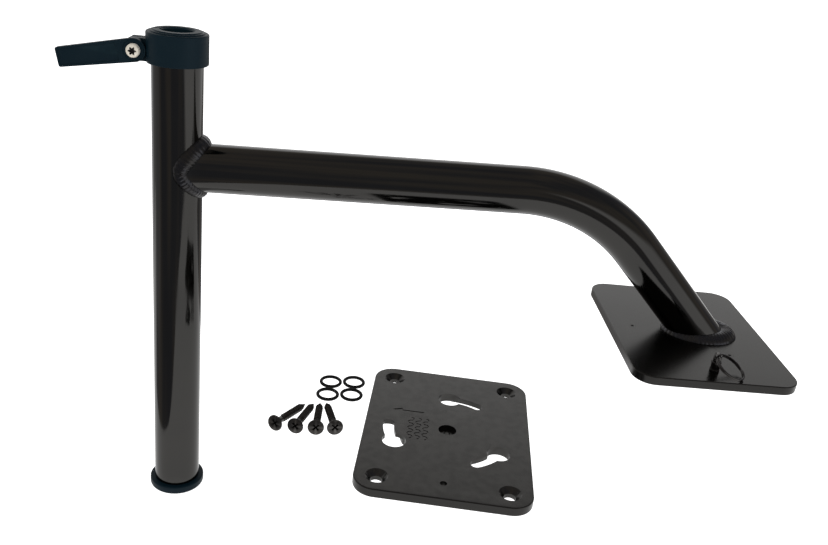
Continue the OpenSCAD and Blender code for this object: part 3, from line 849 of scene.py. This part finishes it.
def keyhole_outline(head_r, slot_r):
    """Drop-in hole at the twist angle, curved slot and round end at angle 0."""
    outline, steps = [], 16
    twist = math.radians(TWIST)

    def meet(radius):
        cosine = (STUD_CIRCLE ** 2 + radius ** 2 - head_r ** 2) / (2 * STUD_CIRCLE * radius)
        return twist - math.acos(cosine)

    inner, outer = STUD_CIRCLE - slot_r, STUD_CIRCLE + slot_r
    end = Vector((STUD_CIRCLE, 0))
    for k in range(steps + 1):
        a = math.pi + math.pi * k / steps
        outline.append(end + slot_r * Vector((math.cos(a), math.sin(a))))
    for k in range(1, steps):
        a = meet(outer) * k / steps
        outline.append(outer * Vector((math.cos(a), math.sin(a))))
    head = STUD_CIRCLE * Vector((math.cos(twist), math.sin(twist)))
    first = outer * Vector((math.cos(meet(outer)), math.sin(meet(outer)))) - head
    last = inner * Vector((math.cos(meet(inner)), math.sin(meet(inner)))) - head
    start = math.atan2(first.y, first.x)
    sweep = (math.atan2(last.y, last.x) - start) % (2 * math.pi)
    for k in range(3 * steps + 1):
        a = start + sweep * k / (3 * steps)
        outline.append(head + head_r * Vector((math.cos(a), math.sin(a))))
    for k in range(1, steps):
        a = meet(inner) * (steps - k) / steps
        outline.append(inner * Vector((math.cos(a), math.sin(a))))
    return outline


def arc_band(cx, cy, radius, width, start, stop, steps=12):
    """The outline of a short curved stroke."""
    outline = []
    for r, order in ((radius + width / 2, range(steps + 1)), (radius - width / 2, range(steps, -1, -1))):
        for k in order:
            a = math.radians(start + (stop - start) * k / steps)
            outline.append((cx + r * math.cos(a), cy + r * math.sin(a)))
    return outline


def deck_plate():
    """The loose plate with its screw holes, keyholes, centre hole, pin hole and engraving."""
    place = Matrix.Translation((DECK_X, DECK_Y, KIT_FLOOR)) @ Matrix.Rotation(DECK_TURN, 4, "Z")
    plate = blank_plate("deck_plate_satin", place)
    tools = []
    sink = SINK_R - HOLE_R
    for sx in (-1, 1):
        for sy in (-1, 1):
            at = place @ Matrix.Translation((sx * HOLE_DX / 2, sy * HOLE_DY / 2, 0))
            over = 0.2
            tools.append(revolved(
                "tool", [(0, -1), (HOLE_R, -1), (HOLE_R, PLATE_T - sink), (SINK_R + over, PLATE_T + over),
                         (0, PLATE_T + over)], PLATE_FINISH, at, 72))
    for a in STUD_ANGLES:
        at = place @ Matrix.Rotation(math.radians(a), 4, "Z")
        through = keyhole_outline(KEY_HEAD_R + 0.05, KEY_SLOT_R)
        tools.append(prism("tool", through, -1, PLATE_T + 1, PLATE_FINISH, at))
        pocket = keyhole_outline(KEY_HEAD_R, KEY_HEAD_R - 0.3)
        tools.append(prism("tool", pocket, -1, PLATE_T - LIP_T, PLATE_FINISH, at))
    tools.append(drill(CENTRE_HOLE_R, 0, 0, -1, PLATE_T + 1, place, 40))
    tools.append(drill(COUNTERBORE_R, 0, 0, PLATE_T - COUNTERBORE_DEEP, PLATE_T + 1, place))
    tools.append(drill(PIN_HOLE_R, 0, PIN_Y, -1, PLATE_T + 1, place, 40))
    depth, line = 0.45, 0.9
    arrow = [(-20, 20.4), (-20, 21.6), (-38, 21.6), (-38, 24), (-46, 21), (-38, 18), (-38, 20.4)]
    tools.append(prism("tool", arrow, PLATE_T - depth, PLATE_T + 1, PLATE_FINISH, place))
    for x in (-29.5, -23.5, -17.5):
        for k in range(7):
            cy = -3 + (2 * k - 6) * 2.1
            facing = (-92, 92) if k % 2 == 0 else (88, 272)
            stroke = arc_band(x, cy, 2.1, line, *facing)
            tools.append(prism("tool", stroke, PLATE_T - depth, PLATE_T + 1, PLATE_FINISH, place))
    cut(plate, tools)
    return soften(plate, 0.18)


def flange_plate():
    """The arm's plate, with the lock pin's hole and the three stud spigots' holes."""
    place = Matrix()
    plate = blank_plate("flange_plate_satin", place)
    tools = [drill(PIN_HOLE_R - 0.27, 0, PIN_Y, -1, PLATE_T + 1, place, 40)]
    for a in STUD_ANGLES:
        x, y = STUD_CIRCLE * math.cos(math.radians(a)), STUD_CIRCLE * math.sin(math.radians(a))
        tools.append(drill(STUD_SPIGOT_R + 0.02, x, y, -1, PLATE_T + 1, place, 48))
    cut(plate, tools)
    return soften(plate, 0.15)


# ---------------------------------------------------------------- clamp
def clamp_collar():
    """The split moulded ring, with two ears for the lever and its screw."""
    at = Matrix.Translation((UPRIGHT_X, 0, 0))
    top, low = COLLAR_TOP, COLLAR_BOTTOM
    step = 1.7
    profile = rounded([
        (0, low, 0), (COLLAR_R, low, 0.6), (COLLAR_R, top - step, 1.1), (COLLAR_R - 2.4, top - step, 0.3),
        (COLLAR_R - 2.9, top - step + 0.9, 0.3), (COLLAR_R - 4.6, top - step + 0.9, 0.3),
        (COLLAR_R - 5.2, top, 0.35), (0, top, 0)], 4)
    collar = revolved("clamp_collar_moulded", profile, MOULD_FINISH, at)
    px, pz = PIVOT.x, PIVOT.z
    standing = Matrix.Rotation(math.radians(90), 4, "X")
    ear_out, ear_in = px - EAR_PAST, UPRIGHT_X - TUBE_R + 1
    low_z, high_z = pz - EAR_H / 2, pz + EAR_H / 2
    ears = prism("tool", rounded([
        (ear_out, low_z, 1.6), (ear_in, low_z, 0), (ear_in, high_z, 0), (ear_out, high_z, 1.6)], 5),
        -EAR_FRONT, EAR_FRONT, MOULD_FINISH, standing)
    cut(collar, [ears], union=True)
    hub_way = LEVER_HUB_R + HUB_CLEAR
    over_pivot = Matrix.Translation((px, 0, pz)) @ standing
    way = POLE_R + 0.5
    bore = [(0, low - 3), (TUBE_R, low - 3), (TUBE_R, TUBE_TOP), (way, TUBE_TOP), (way, top - 1.3),
            (way + 1.5, top + 0.2), (0, top + 0.2)]
    tools = [
        revolved("tool", bore, MOULD_FINISH, at),
        prism("tool", [(px - EAR_PAST - 1, -SLIT / 2), (UPRIGHT_X, -SLIT / 2), (UPRIGHT_X, SLIT / 2),
                       (px - EAR_PAST - 1, SLIT / 2)], low - 5, top + 5, MOULD_FINISH),
        prism("tool", [(px - hub_way, -40), (px + hub_way, -40), (px + hub_way, -EAR_FRONT),
                       (px - hub_way, -EAR_FRONT)], low - 5, pz, MOULD_FINISH),
        revolved("tool", [(0, EAR_FRONT), (hub_way, EAR_FRONT), (hub_way, 45), (0, 45)],
                 MOULD_FINISH, over_pivot, 96),
        revolved("tool", [(0, -30), (BOLT_WAY_R, -30), (BOLT_WAY_R, 30), (0, 30)],
                 MOULD_FINISH, over_pivot, 48),
        revolved("tool", [(0, -EAR_FRONT - 1), (NUT_WAY_R, -EAR_FRONT - 1),
                          (NUT_WAY_R, -EAR_FRONT + NUT_DEEP), (0, -EAR_FRONT + NUT_DEEP)],
                 MOULD_FINISH, over_pivot, 6),
    ]
    cut(collar, tools)
    return soften(collar, 0.3)


def clamp_lever():
    """The flat lever, with a sunk panel and a groove round its hub."""
    turn = Matrix.Translation(PIVOT) @ Matrix.Rotation(-LEVER_DROOP, 4, "Y") \
        @ Matrix.Rotation(math.radians(90), 4, "X")
    front, back = -LEVER_BACK + LEVER_T, -LEVER_BACK
    half_tip = LEVER_TIP / 2
    lean = math.asin((LEVER_HUB_R - half_tip) / LEVER_LEN)
    outline = []
    for k in range(33):
        a = math.radians(-90) - lean + (math.pi + 2 * lean) * k / 32
        outline.append(LEVER_HUB_R * Vector((math.cos(a), math.sin(a))))
    outline += rounded([
        (0, LEVER_HUB_R, 0), (-LEVER_LEN, half_tip, 1.5), (-LEVER_LEN, -half_tip, 1.5),
        (0, -LEVER_HUB_R, 0)], 5)[1:-1]
    lever = prism("clamp_lever_moulded", outline, back, front, MOULD_FINISH, turn)
    rim, sunk = 1.3, 0.55
    near = -LEVER_HUB_R - 3.2
    panel = rounded([
        (near, LEVER_HUB_R - rim - 0.9, 0.8), (-LEVER_LEN + rim, half_tip - rim, 0.8),
        (-LEVER_LEN + rim, -half_tip + rim, 0.8), (near, -LEVER_HUB_R + rim + 0.9, 0.8)], 4)
    tools = [
        prism("tool", panel, front - sunk, front + 1, MOULD_FINISH, turn),
        revolved("tool", [(7.2, front - 0.35), (7.8, front - 0.35), (7.8, front + 1), (7.2, front + 1)],
                 MOULD_FINISH, turn, 72),
        revolved("tool", [(0, back - 1), (BOLT_WAY_R, back - 1), (BOLT_WAY_R, front + 1),
                          (0, front + 1)], MOULD_FINISH, turn, 48),
    ]
    cut(lever, tools)
    return soften(lever, 0.35)


def clamp_screw():
    """The pan-head pivot screw, with painted shade in its six-lobed recess: the recess faces take the dark
    screw finish.
    """
    head_y = -(LEVER_BACK - LEVER_T - 1.0)
    turn = Matrix.Translation(PIVOT) @ Matrix.Rotation(math.radians(90), 4, "X")
    head_r, head_h = 5.0, 3.2
    profile = rounded([
        (0, -EAR_FRONT, 0), (CLAMP_BOLT_R, -EAR_FRONT, 0.4), (CLAMP_BOLT_R, head_y, 0),
        (head_r, head_y, 0.35), (head_r, head_y + head_h, 2.3), (0, head_y + head_h, 0)], 8)
    screw = revolved("clamp_screw_bright", profile, BRIGHT_FINISH, turn, 72)
    lobes, outline = 6, []
    for k in range(72):
        a = 2 * math.pi * k / 72
        reach = 2.5 + 0.6 * math.cos(lobes * a)
        outline.append((reach * math.cos(a), reach * math.sin(a)))
    painted_shade_recess = prism("tool", outline, head_y + 0.9, head_y + head_h + 1, BRIGHT_FINISH, turn)
    # The recess faces take the dark screw finish as painted shade against the bright steel round them.
    for mesh in (screw.data, painted_shade_recess.data):
        mesh.materials.append(SCREW_AND_RECESS_SHADE_FINISH)
    for face in painted_shade_recess.data.polygons:
        face.material_index = 1
    cut(screw, [painted_shade_recess])
    return soften(screw, 0.12, 2, 50)


# ---------------------------------------------------------------- foot, pin and ring
def foot_bush():
    """The foot's rim under the tube and its plug inside it."""
    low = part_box("foot_bush")[0].z / MM
    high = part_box("foot_bush")[1].z / MM
    radius = (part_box("foot_bush")[1].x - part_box("foot_bush")[0].x) / 2 / MM
    inner = TUBE_R - TUBE_WALL
    profile = rounded([
        (POLE_R, low, 0.8), (radius, low, 1.6), (radius, TUBE_BOTTOM, 1.3), (inner, TUBE_BOTTOM, 0),
        (inner, high, 1.0), (POLE_R, high, 0.8)], 6)
    return revolved("foot_bush_moulded", profile, MOULD_FINISH, Matrix.Translation((UPRIGHT_X, 0, 0)))


def upper_bush():
    """The sleeve in the tube's top."""
    low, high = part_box("upper_bush")[0].z / MM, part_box("upper_bush")[1].z / MM
    outer = TUBE_R - TUBE_WALL
    profile = rounded([
        (POLE_R, low, 0.8), (outer, low, 0.5), (outer, high, 0.3), (POLE_R, high, 1.0)], 4)
    return revolved("upper_bush_turned", profile, BUSH_FINISH, Matrix.Translation((UPRIGHT_X, 0, 0)), 96)


def lock_pin_barrel():
    """The hollow barrel with a band at each end."""
    low = PLATE_T
    top = low + BARREL_H
    profile = rounded([
        (2.8, low, 0), (3.8, low, 0.2), (3.8, low + 2.0, 0.15), (3.5, low + 2.3, 0.1), (3.5, top - 2.2, 0.1),
        (3.8, top - 1.9, 0.15), (3.8, top, 0.45), (1.53, top, 0.1), (1.53, top - 1.5, 0),
        (2.8, top - 1.5, 0)], 4)
    return revolved("lock_pin_barrel_turned", profile, PIN_FINISH, Matrix.Translation((0, PIN_Y, 0)), 72)


def lock_pin():
    """The stepped pin with the eye that the ring goes through."""
    collar_z, head_z = PLATE_T + 0.05, PLATE_T + BARREL_H + 0.2
    at = Matrix.Translation((0, PIN_Y, 0))
    profile = rounded([
        (0, -4, 0), (1.5, -4, 0.3), (2.3, -3, 0.3), (2.3, collar_z, 0), (2.7, collar_z, 0.1),
        (2.7, collar_z + 1.2, 0.1), (1.45, collar_z + 1.2, 0), (1.45, head_z, 0.1), (2.9, head_z + 0.3, 0.2),
        (2.9, head_z + 0.9, 0.2), (0, head_z + 0.9, 0)], 4)
    pin = revolved("lock_pin_turned", profile, PIN_FINISH, at, 64)
    eye_z = RING_AT.z
    lying = Matrix.Translation((0, PIN_Y, eye_z)) @ Matrix.Rotation(RING_HEADING, 4, "Z") \
        @ Matrix.Rotation(math.radians(90), 4, "X")
    eye_r, foot = 2.9, head_z - eye_z
    eye = rounded([(eye_r, foot, 0), (eye_r, eye_r, 2.8), (-eye_r, eye_r, 2.8), (-eye_r, foot, 0)], 10)
    cut(pin, [prism("tool", eye, -1.35, 1.35, PIN_FINISH, lying)], union=True)
    cut(pin, [revolved("tool", [(0, -5), (1.8, -5), (1.8, 5), (0, 5)], PIN_FINISH, lying, 40)])
    return soften(pin, 0.15, 2, 45)


def pull_ring():
    """A split ring: two turns of flat wire that step across where they overlap."""
    turn = Matrix.Translation(RING_AT) @ Matrix.Rotation(RING_HEADING, 4, "Z") \
        @ Matrix.Rotation(RING_TILT, 4, "Y") @ Matrix.Translation((RING_R, 0, 0))
    coil = RING_W / 4 - 0.01
    centres, sides, ups = [], [], []
    steps = 240
    total = math.radians(2 * 360 - 8)
    jog_start, jog_end = math.radians(335), math.radians(385)
    spin = turn.to_3x3()
    for k in range(steps + 1):
        a = total * k / steps
        share = min(max((a - jog_start) / (jog_end - jog_start), 0), 1)
        height = coil * (2 * share * share * (3 - 2 * share) - 1)
        start = a + math.radians(55)
        out = Vector((math.cos(start), math.sin(start), 0))
        centres.append(turn @ (RING_R * out + Vector((0, 0, height))))
        sides.append(spin @ out)
        ups.append(spin @ Vector((0, 0, 1)))
    w, h = RING_WIRE / 2, coil * 0.97
    section = rounded([(w, h, 0.35), (-w, h, 0.35), (-w, -h, 0.35), (w, -h, 0.35)], 3)
    return swept("pull_ring_split", centres, sides, ups, section, PIN_FINISH, 50)


# ---------------------------------------------------------------- loose screws and rings
def screw_shape():
    """One countersunk wood screw along +X, its head's face at x = 0, with a coarse thread."""
    around, pitch, core = 40, 2.7, 0.68
    head_t = SCREW_HEAD_R - SCREW_R
    stations = [0.0, 0.0, 0.15, 0.45, head_t + 0.45]
    radii = [0.0, SCREW_HEAD_R - 0.35, SCREW_HEAD_R - 0.05, SCREW_HEAD_R, SCREW_R * 0.8]
    thread_from, count = 9.0, 150
    stations.append(thread_from - 0.5)
    radii.append(SCREW_R * 0.8)
    for k in range(count + 1):
        stations.append(thread_from + (SCREW_LEN - 0.4 - thread_from) * k / count)
        radii.append(None)
    points, faces = [], []
    for x, fixed in zip(stations, radii):
        for k in range(around):
            a = 2 * math.pi * k / around
            radius = fixed
            if fixed is None:
                phase = (x / pitch - k / around) % 1.0
                crest = max(0.0, 1 - abs(phase - 0.5) * 3.4)
                taper = min(1.0, (SCREW_LEN - x) / 9.0 + 0.06)
                grow = min(1.0, (x - thread_from) / 2.5)
                radius = SCREW_R * taper * (core + (1 - core) * crest * grow)
            points.append(Vector((x, radius * math.cos(a), radius * math.sin(a))))
    rows = len(stations)
    for i in range(rows - 1):
        for k in range(around):
            n = (k + 1) % around
            faces.append([i * around + k, i * around + n, (i + 1) * around + n, (i + 1) * around + k])
    faces.append([(rows - 1) * around + k for k in range(around)])
    screw = from_points("screw_shape", points, faces, SCREW_AND_RECESS_SHADE_FINISH, 42)
    for a in (45, 135):
        half, deep, reach, wide = 0.75, 3.3, 3.7, 0.4
        spin = Matrix.Rotation(math.radians(a), 4, "X")
        top = [(-0.6, -reach, -half), (-0.6, reach, -half), (-0.6, reach, half), (-0.6, -reach, half)]
        low = [(deep, -1.2, -wide), (deep, 1.2, -wide), (deep, 1.2, wide), (deep, -1.2, wide)]
        faces = [[0, 1, 2, 3], [7, 6, 5, 4]] + [[k, 4 + k, 4 + (k + 1) % 4, (k + 1) % 4] for k in range(4)]
        cut(screw, [from_points("tool", [spin @ Vector(p) for p in top + low], faces, SCREW_AND_RECESS_SHADE_FINISH)])
    screw.data.shade_smooth()
    screw.data.set_sharp_from_angle(angle=math.radians(42))
    return screw


def scatter_tree():
    """Puts one shape on every point, turned by the point's own angles."""
    tree = bpy.data.node_groups.new("laid_out_parts", "GeometryNodeTree")
    for name, kind in (("Geometry", "NodeSocketGeometry"), ("Shape", "NodeSocketObject"),
                       ("Finish", "NodeSocketMaterial")):
        tree.interface.new_socket(name, in_out="INPUT", socket_type=kind)
    tree.interface.new_socket("Geometry", in_out="OUTPUT", socket_type="NodeSocketGeometry")
    given, out = add(tree, "NodeGroupInput"), add(tree, "NodeGroupOutput")
    shape = add(tree, "GeometryNodeObjectInfo", transform_space="ORIGINAL")
    tree.links.new(given.outputs["Shape"], shape.inputs["Object"])
    turn = add(tree, "GeometryNodeInputNamedAttribute", data_type="FLOAT_VECTOR")
    turn.inputs["Name"].default_value = "turn"
    placed = add(tree, "GeometryNodeInstanceOnPoints")
    tree.links.new(given.outputs["Geometry"], placed.inputs["Points"])
    tree.links.new(shape.outputs["Geometry"], placed.inputs["Instance"])
    tree.links.new(turn.outputs["Attribute"], placed.inputs["Rotation"])
    real = add(tree, "GeometryNodeRealizeInstances")
    tree.links.new(placed.outputs["Instances"], real.inputs["Geometry"])
    dressed = add(tree, "GeometryNodeSetMaterial")
    tree.links.new(real.outputs["Geometry"], dressed.inputs["Geometry"])
    tree.links.new(given.outputs["Finish"], dressed.inputs["Material"])
    tree.links.new(dressed.outputs["Geometry"], out.inputs["Geometry"])
    return tree


SCATTER_TREE = scatter_tree()


def laid_out(name, places, turns, shape, finish):
    """Copies of a shape at places in millimetres, each with its own turn, as one piece."""
    mesh = bpy.data.meshes.new(name)
    mesh.from_pydata([Vector(p) * MM for p in places], [], [])
    store = mesh.attributes.new("turn", "FLOAT_VECTOR", "POINT")
    for slot, turn in zip(store.data, turns):
        slot.vector = turn
    piece = bpy.data.objects.new(name, mesh)
    bpy.context.scene.collection.objects.link(piece)
    run_tree(piece, SCATTER_TREE, Shape=shape, Finish=finish)
    piece.data.materials.clear()
    piece.data.materials.append(finish)
    bpy.data.objects.remove(shape)
    return piece


def deck_screws():
    """Four loose wood screws, each lying on its head and its tip."""
    lie = math.asin((SCREW_HEAD_R - 1) / SCREW_LEN)
    places = [(x, y, KIT_FLOOR + SCREW_HEAD_R + 0.05) for x, y, heading in SCREW_PLACES]
    turns = [(0, lie, math.radians(heading)) for x, y, heading in SCREW_PLACES]
    return laid_out("deck_screws_threaded", places, turns, screw_shape(), SCREW_AND_RECESS_SHADE_FINISH)


def o_rings():
    """Four loose rings, each where the frame has it."""
    places, turns = [], []
    for k in range(1, 5):
        low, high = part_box(f"o_ring_{k}")
        places.append((low + high) / 2 / MM)
        turns.append((0, 0, 0))
    profile = []
    for k in range(20):
        a = 2 * math.pi * k / 20
        profile.append((O_RING_R + O_RING_CORD * math.cos(a), O_RING_CORD * math.sin(a)))
    ring = revolved("o_ring_shape", profile, RUBBER_FINISH, Matrix(), 80, 60)
    return laid_out("o_rings_rubber", places, turns, ring, RUBBER_FINISH)


# ---------------------------------------------------------------- put the pieces on their bodies
def fit(piece, body, slot, *nodes):
    """Put a piece on its body and hide the nodes that it stands for; the slot is not used."""
    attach(piece, body)
    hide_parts(*nodes)


fit(upright_tube(), "bracket", "polished_tube", "upright_tube")
fit(arm_tube(), "bracket", "polished_tube", "arm_tube")
fit(upright_weld(), "bracket", "weld", "upright_weld")
fit(foot_weld(), "bracket", "weld", "arm_foot_weld")
fit(flange_plate(), "bracket", "plate", "flange_plate")
fit(lock_pin_barrel(), "bracket", "pin_metal", "lock_pin_barrel")
fit(clamp_collar(), "bracket", "moulding", "clamp_collar")
fit(clamp_screw(), "bracket", "stainless", "clamp_screw")
fit(upper_bush(), "bracket", "bush", "upper_bush")
fit(foot_bush(), "bracket", "moulding", "foot_bush")
fit(clamp_lever(), "clamp_lever", "moulding", "clamp_lever")
fit(lock_pin(), "lock_pin", "pin_metal", "lock_pin")
fit(pull_ring(), "pull_ring", "pin_metal", "pull_ring")
fit(deck_plate(), "deck_plate", "plate", "deck_plate")
fit(deck_screws(), "fixings", "screw_metal", "deck_screw_1", "deck_screw_2", "deck_screw_3", "deck_screw_4")
fit(o_rings(), "fixings", "o_ring", "o_ring_1", "o_ring_2", "o_ring_3", "o_ring_4")

KEPT = {"twist_stud_1": PLATE_FINISH, "twist_stud_2": PLATE_FINISH, "twist_stud_3": PLATE_FINISH,
        "lock_pin_spring": PIN_FINISH, "clamp_washer": BRIGHT_FINISH, "clamp_nut": BRIGHT_FINISH}
for node, finish in KEPT.items():
    kept = frame["nodes"][node]
    kept.data.materials.clear()
    kept.data.materials.append(finish)


# ---------------------------------------------------------------- stage, light and camera
def stage_material():
    """Pale floor, lit a little from within so that it stays even."""
    material = bpy.data.materials.new("pale_floor")
    material.use_nodes = True
    surface = material.node_tree.nodes["Principled BSDF"]
    surface.inputs["Base Color"].default_value = (0.85, 0.85, 0.85, 1)
    surface.inputs["Roughness"].default_value = 0.9
    surface.inputs["Specular IOR Level"].default_value = 0.0
    surface.inputs["Emission Color"].default_value = (1, 1, 1, 1)
    surface.inputs["Emission Strength"].default_value = 0.9
    return material


def glow_material():
    """White card that the polished parts mirror, the same brightness all over."""
    material = bpy.data.materials.new("white_card")
    material.use_nodes = True
    tree = material.node_tree
    tree.nodes.clear()
    glow = add(tree, "ShaderNodeEmission")
    tree.links.new(glow.outputs[0], add(tree, "ShaderNodeOutputMaterial").inputs["Surface"])
    return material


def flat_sheet(name, corners, height, material):
    """A level polygon that belongs to the studio."""
    mesh = bpy.data.meshes.new(name)
    mesh.from_pydata([(x * MM, y * MM, height) for x, y in corners], [], [list(range(len(corners)))])
    mesh.materials.append(material)
    sheet = bpy.data.objects.new(name, mesh)
    bpy.context.scene.collection.objects.link(sheet)
    return sheet


def studio():
    """Floor, white card, world and two soft lamps."""
    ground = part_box("foot_bush")[0].z
    pale = stage_material()
    far = 20000
    floor = flat_sheet("floor", [(-far, -far), (far, -far), (far, far), (-far, far)], ground, pale)
    floor.visible_glossy = False
    at = UPRIGHT_X
    sheet = flat_sheet("white_sheet", [
        (at - 800, 200), (at - 170, 60), (at - 60, -110), (at - 20, -250), (at + 40, -385), (at + 180, -500),
        (at + 420, -594), (at + 850, -610), (at + 2200, -560), (at + 2200, 2500), (at + 900, 2500),
        (at + 700, 300), (at - 800, 300)],
        ground + 0.0002, glow_material())
    sheet.visible_camera = False
    sheet.visible_diffuse = False
    sheet.visible_shadow = False

    world = bpy.data.worlds.new("studio")
    bpy.context.scene.world = world
    world.use_nodes = True
    tree = world.node_tree
    tree.nodes.clear()
    ray = add(tree, "ShaderNodeLightPath")
    direction = add(tree, "ShaderNodeTexCoord").outputs["Generated"]
    split = add(tree, "ShaderNodeSeparateXYZ")
    tree.links.new(direction, split.inputs[0])
    x, y, z = split.outputs

    def both(*masks):
        total = masks[0]
        for mask in masks[1:]:
            total = maths(tree, "MULTIPLY", total, mask)
        return total

    wall = both(span(tree, y, 0.05, 0.35, 0.0, 1.0), span(tree, z, 0.66, 0.58, 0.0, 1.0),
                span(tree, z, -0.12, -0.06, 0.0, 1.0), span(tree, x, 0.66, 0.5, 0.0, 1.0),
                span(tree, x, 0.1, 0.4, 1.0, 0.8))
    leaning = maths(tree, "ADD", x, maths(tree, "MULTIPLY", z, 0.8))
    side = both(span(tree, leaning, 0.44, 0.54, 0.0, 1.0), span(tree, y, -0.1, -0.28, 0.0, 1.0),
                span(tree, z, 0.32, 0.2, 0.0, 1.0))
    left = both(span(tree, x, -0.3, -0.5, 0.0, 0.7), span(tree, y, 0.3, 0.6, 0.0, 1.0))
    strip = both(span(tree, x, -0.86, -0.9, 0.0, 0.3), span(tree, y, -0.35, -0.2, 0.0, 1.0))
    bright = maths(tree, "MAXIMUM", maths(tree, "MAXIMUM", wall, side), maths(tree, "MAXIMUM", left, strip))
    cloud = noise(tree, direction, 2.2, 2.0)
    patches = span(tree, cloud, 0.4, 0.6, 0.0, 1.0)
    dark = blend_colour(tree, patches, (0.17, 0.175, 0.195), (0.31, 0.28, 0.25))
    mirrored = blend_colour(tree, bright, dark, (1.0, 1.0, 1.0))
    soft = blend_colour(tree, ray.outputs["Is Glossy Ray"], (0.7, 0.7, 0.7), mirrored)
    shown = blend_colour(tree, ray.outputs["Is Camera Ray"], soft, (1.0, 1.0, 1.0))
    light = add(tree, "ShaderNodeBackground")
    tree.links.new(shown, light.inputs["Color"])
    tree.links.new(light.outputs[0], add(tree, "ShaderNodeOutputWorld").inputs["Surface"])

    lamps = (("key", (-1.3, -1.6, 1.8), 1.4, 15.0), ("fill", (1.5, -1.2, 1.2), 1.6, 7.0))
    for name, where, size, power in lamps:
        lamp = bpy.data.lights.new(name, "AREA")
        lamp.size = size
        lamp.energy = power
        made = bpy.data.objects.new(name, lamp)
        made.location = where
        made.rotation_euler = (Vector((-0.2, 0, 0)) - Vector(where)).to_track_quat("-Z", "Y").to_euler()
        made.visible_glossy = False
        bpy.context.scene.collection.objects.link(made)


def camera():
    """The camera, from its place and three angles."""
    lens_mm, sensor_mm = 38.06, 36.0
    at = Vector((-0.2874, -0.6615, 0.3209))
    pitch, yaw, roll = math.radians(-23.04), math.radians(4.30), math.radians(6.66)
    data = bpy.data.cameras.new("camera")
    data.lens = lens_mm
    data.sensor_width = sensor_mm
    data.sensor_fit = "HORIZONTAL"
    data.clip_end = 200
    made = bpy.data.objects.new("camera", data)
    turn = Matrix.Rotation(-yaw, 4, "Z") @ Matrix.Rotation(math.pi / 2 + pitch, 4, "X") \
        @ Matrix.Rotation(roll, 4, "Z")
    made.matrix_world = Matrix.Translation(at) @ turn
    bpy.context.scene.collection.objects.link(made)
    bpy.context.scene.camera = made


studio()
camera()
bpy.context.scene.view_settings.view_transform = "Standard"
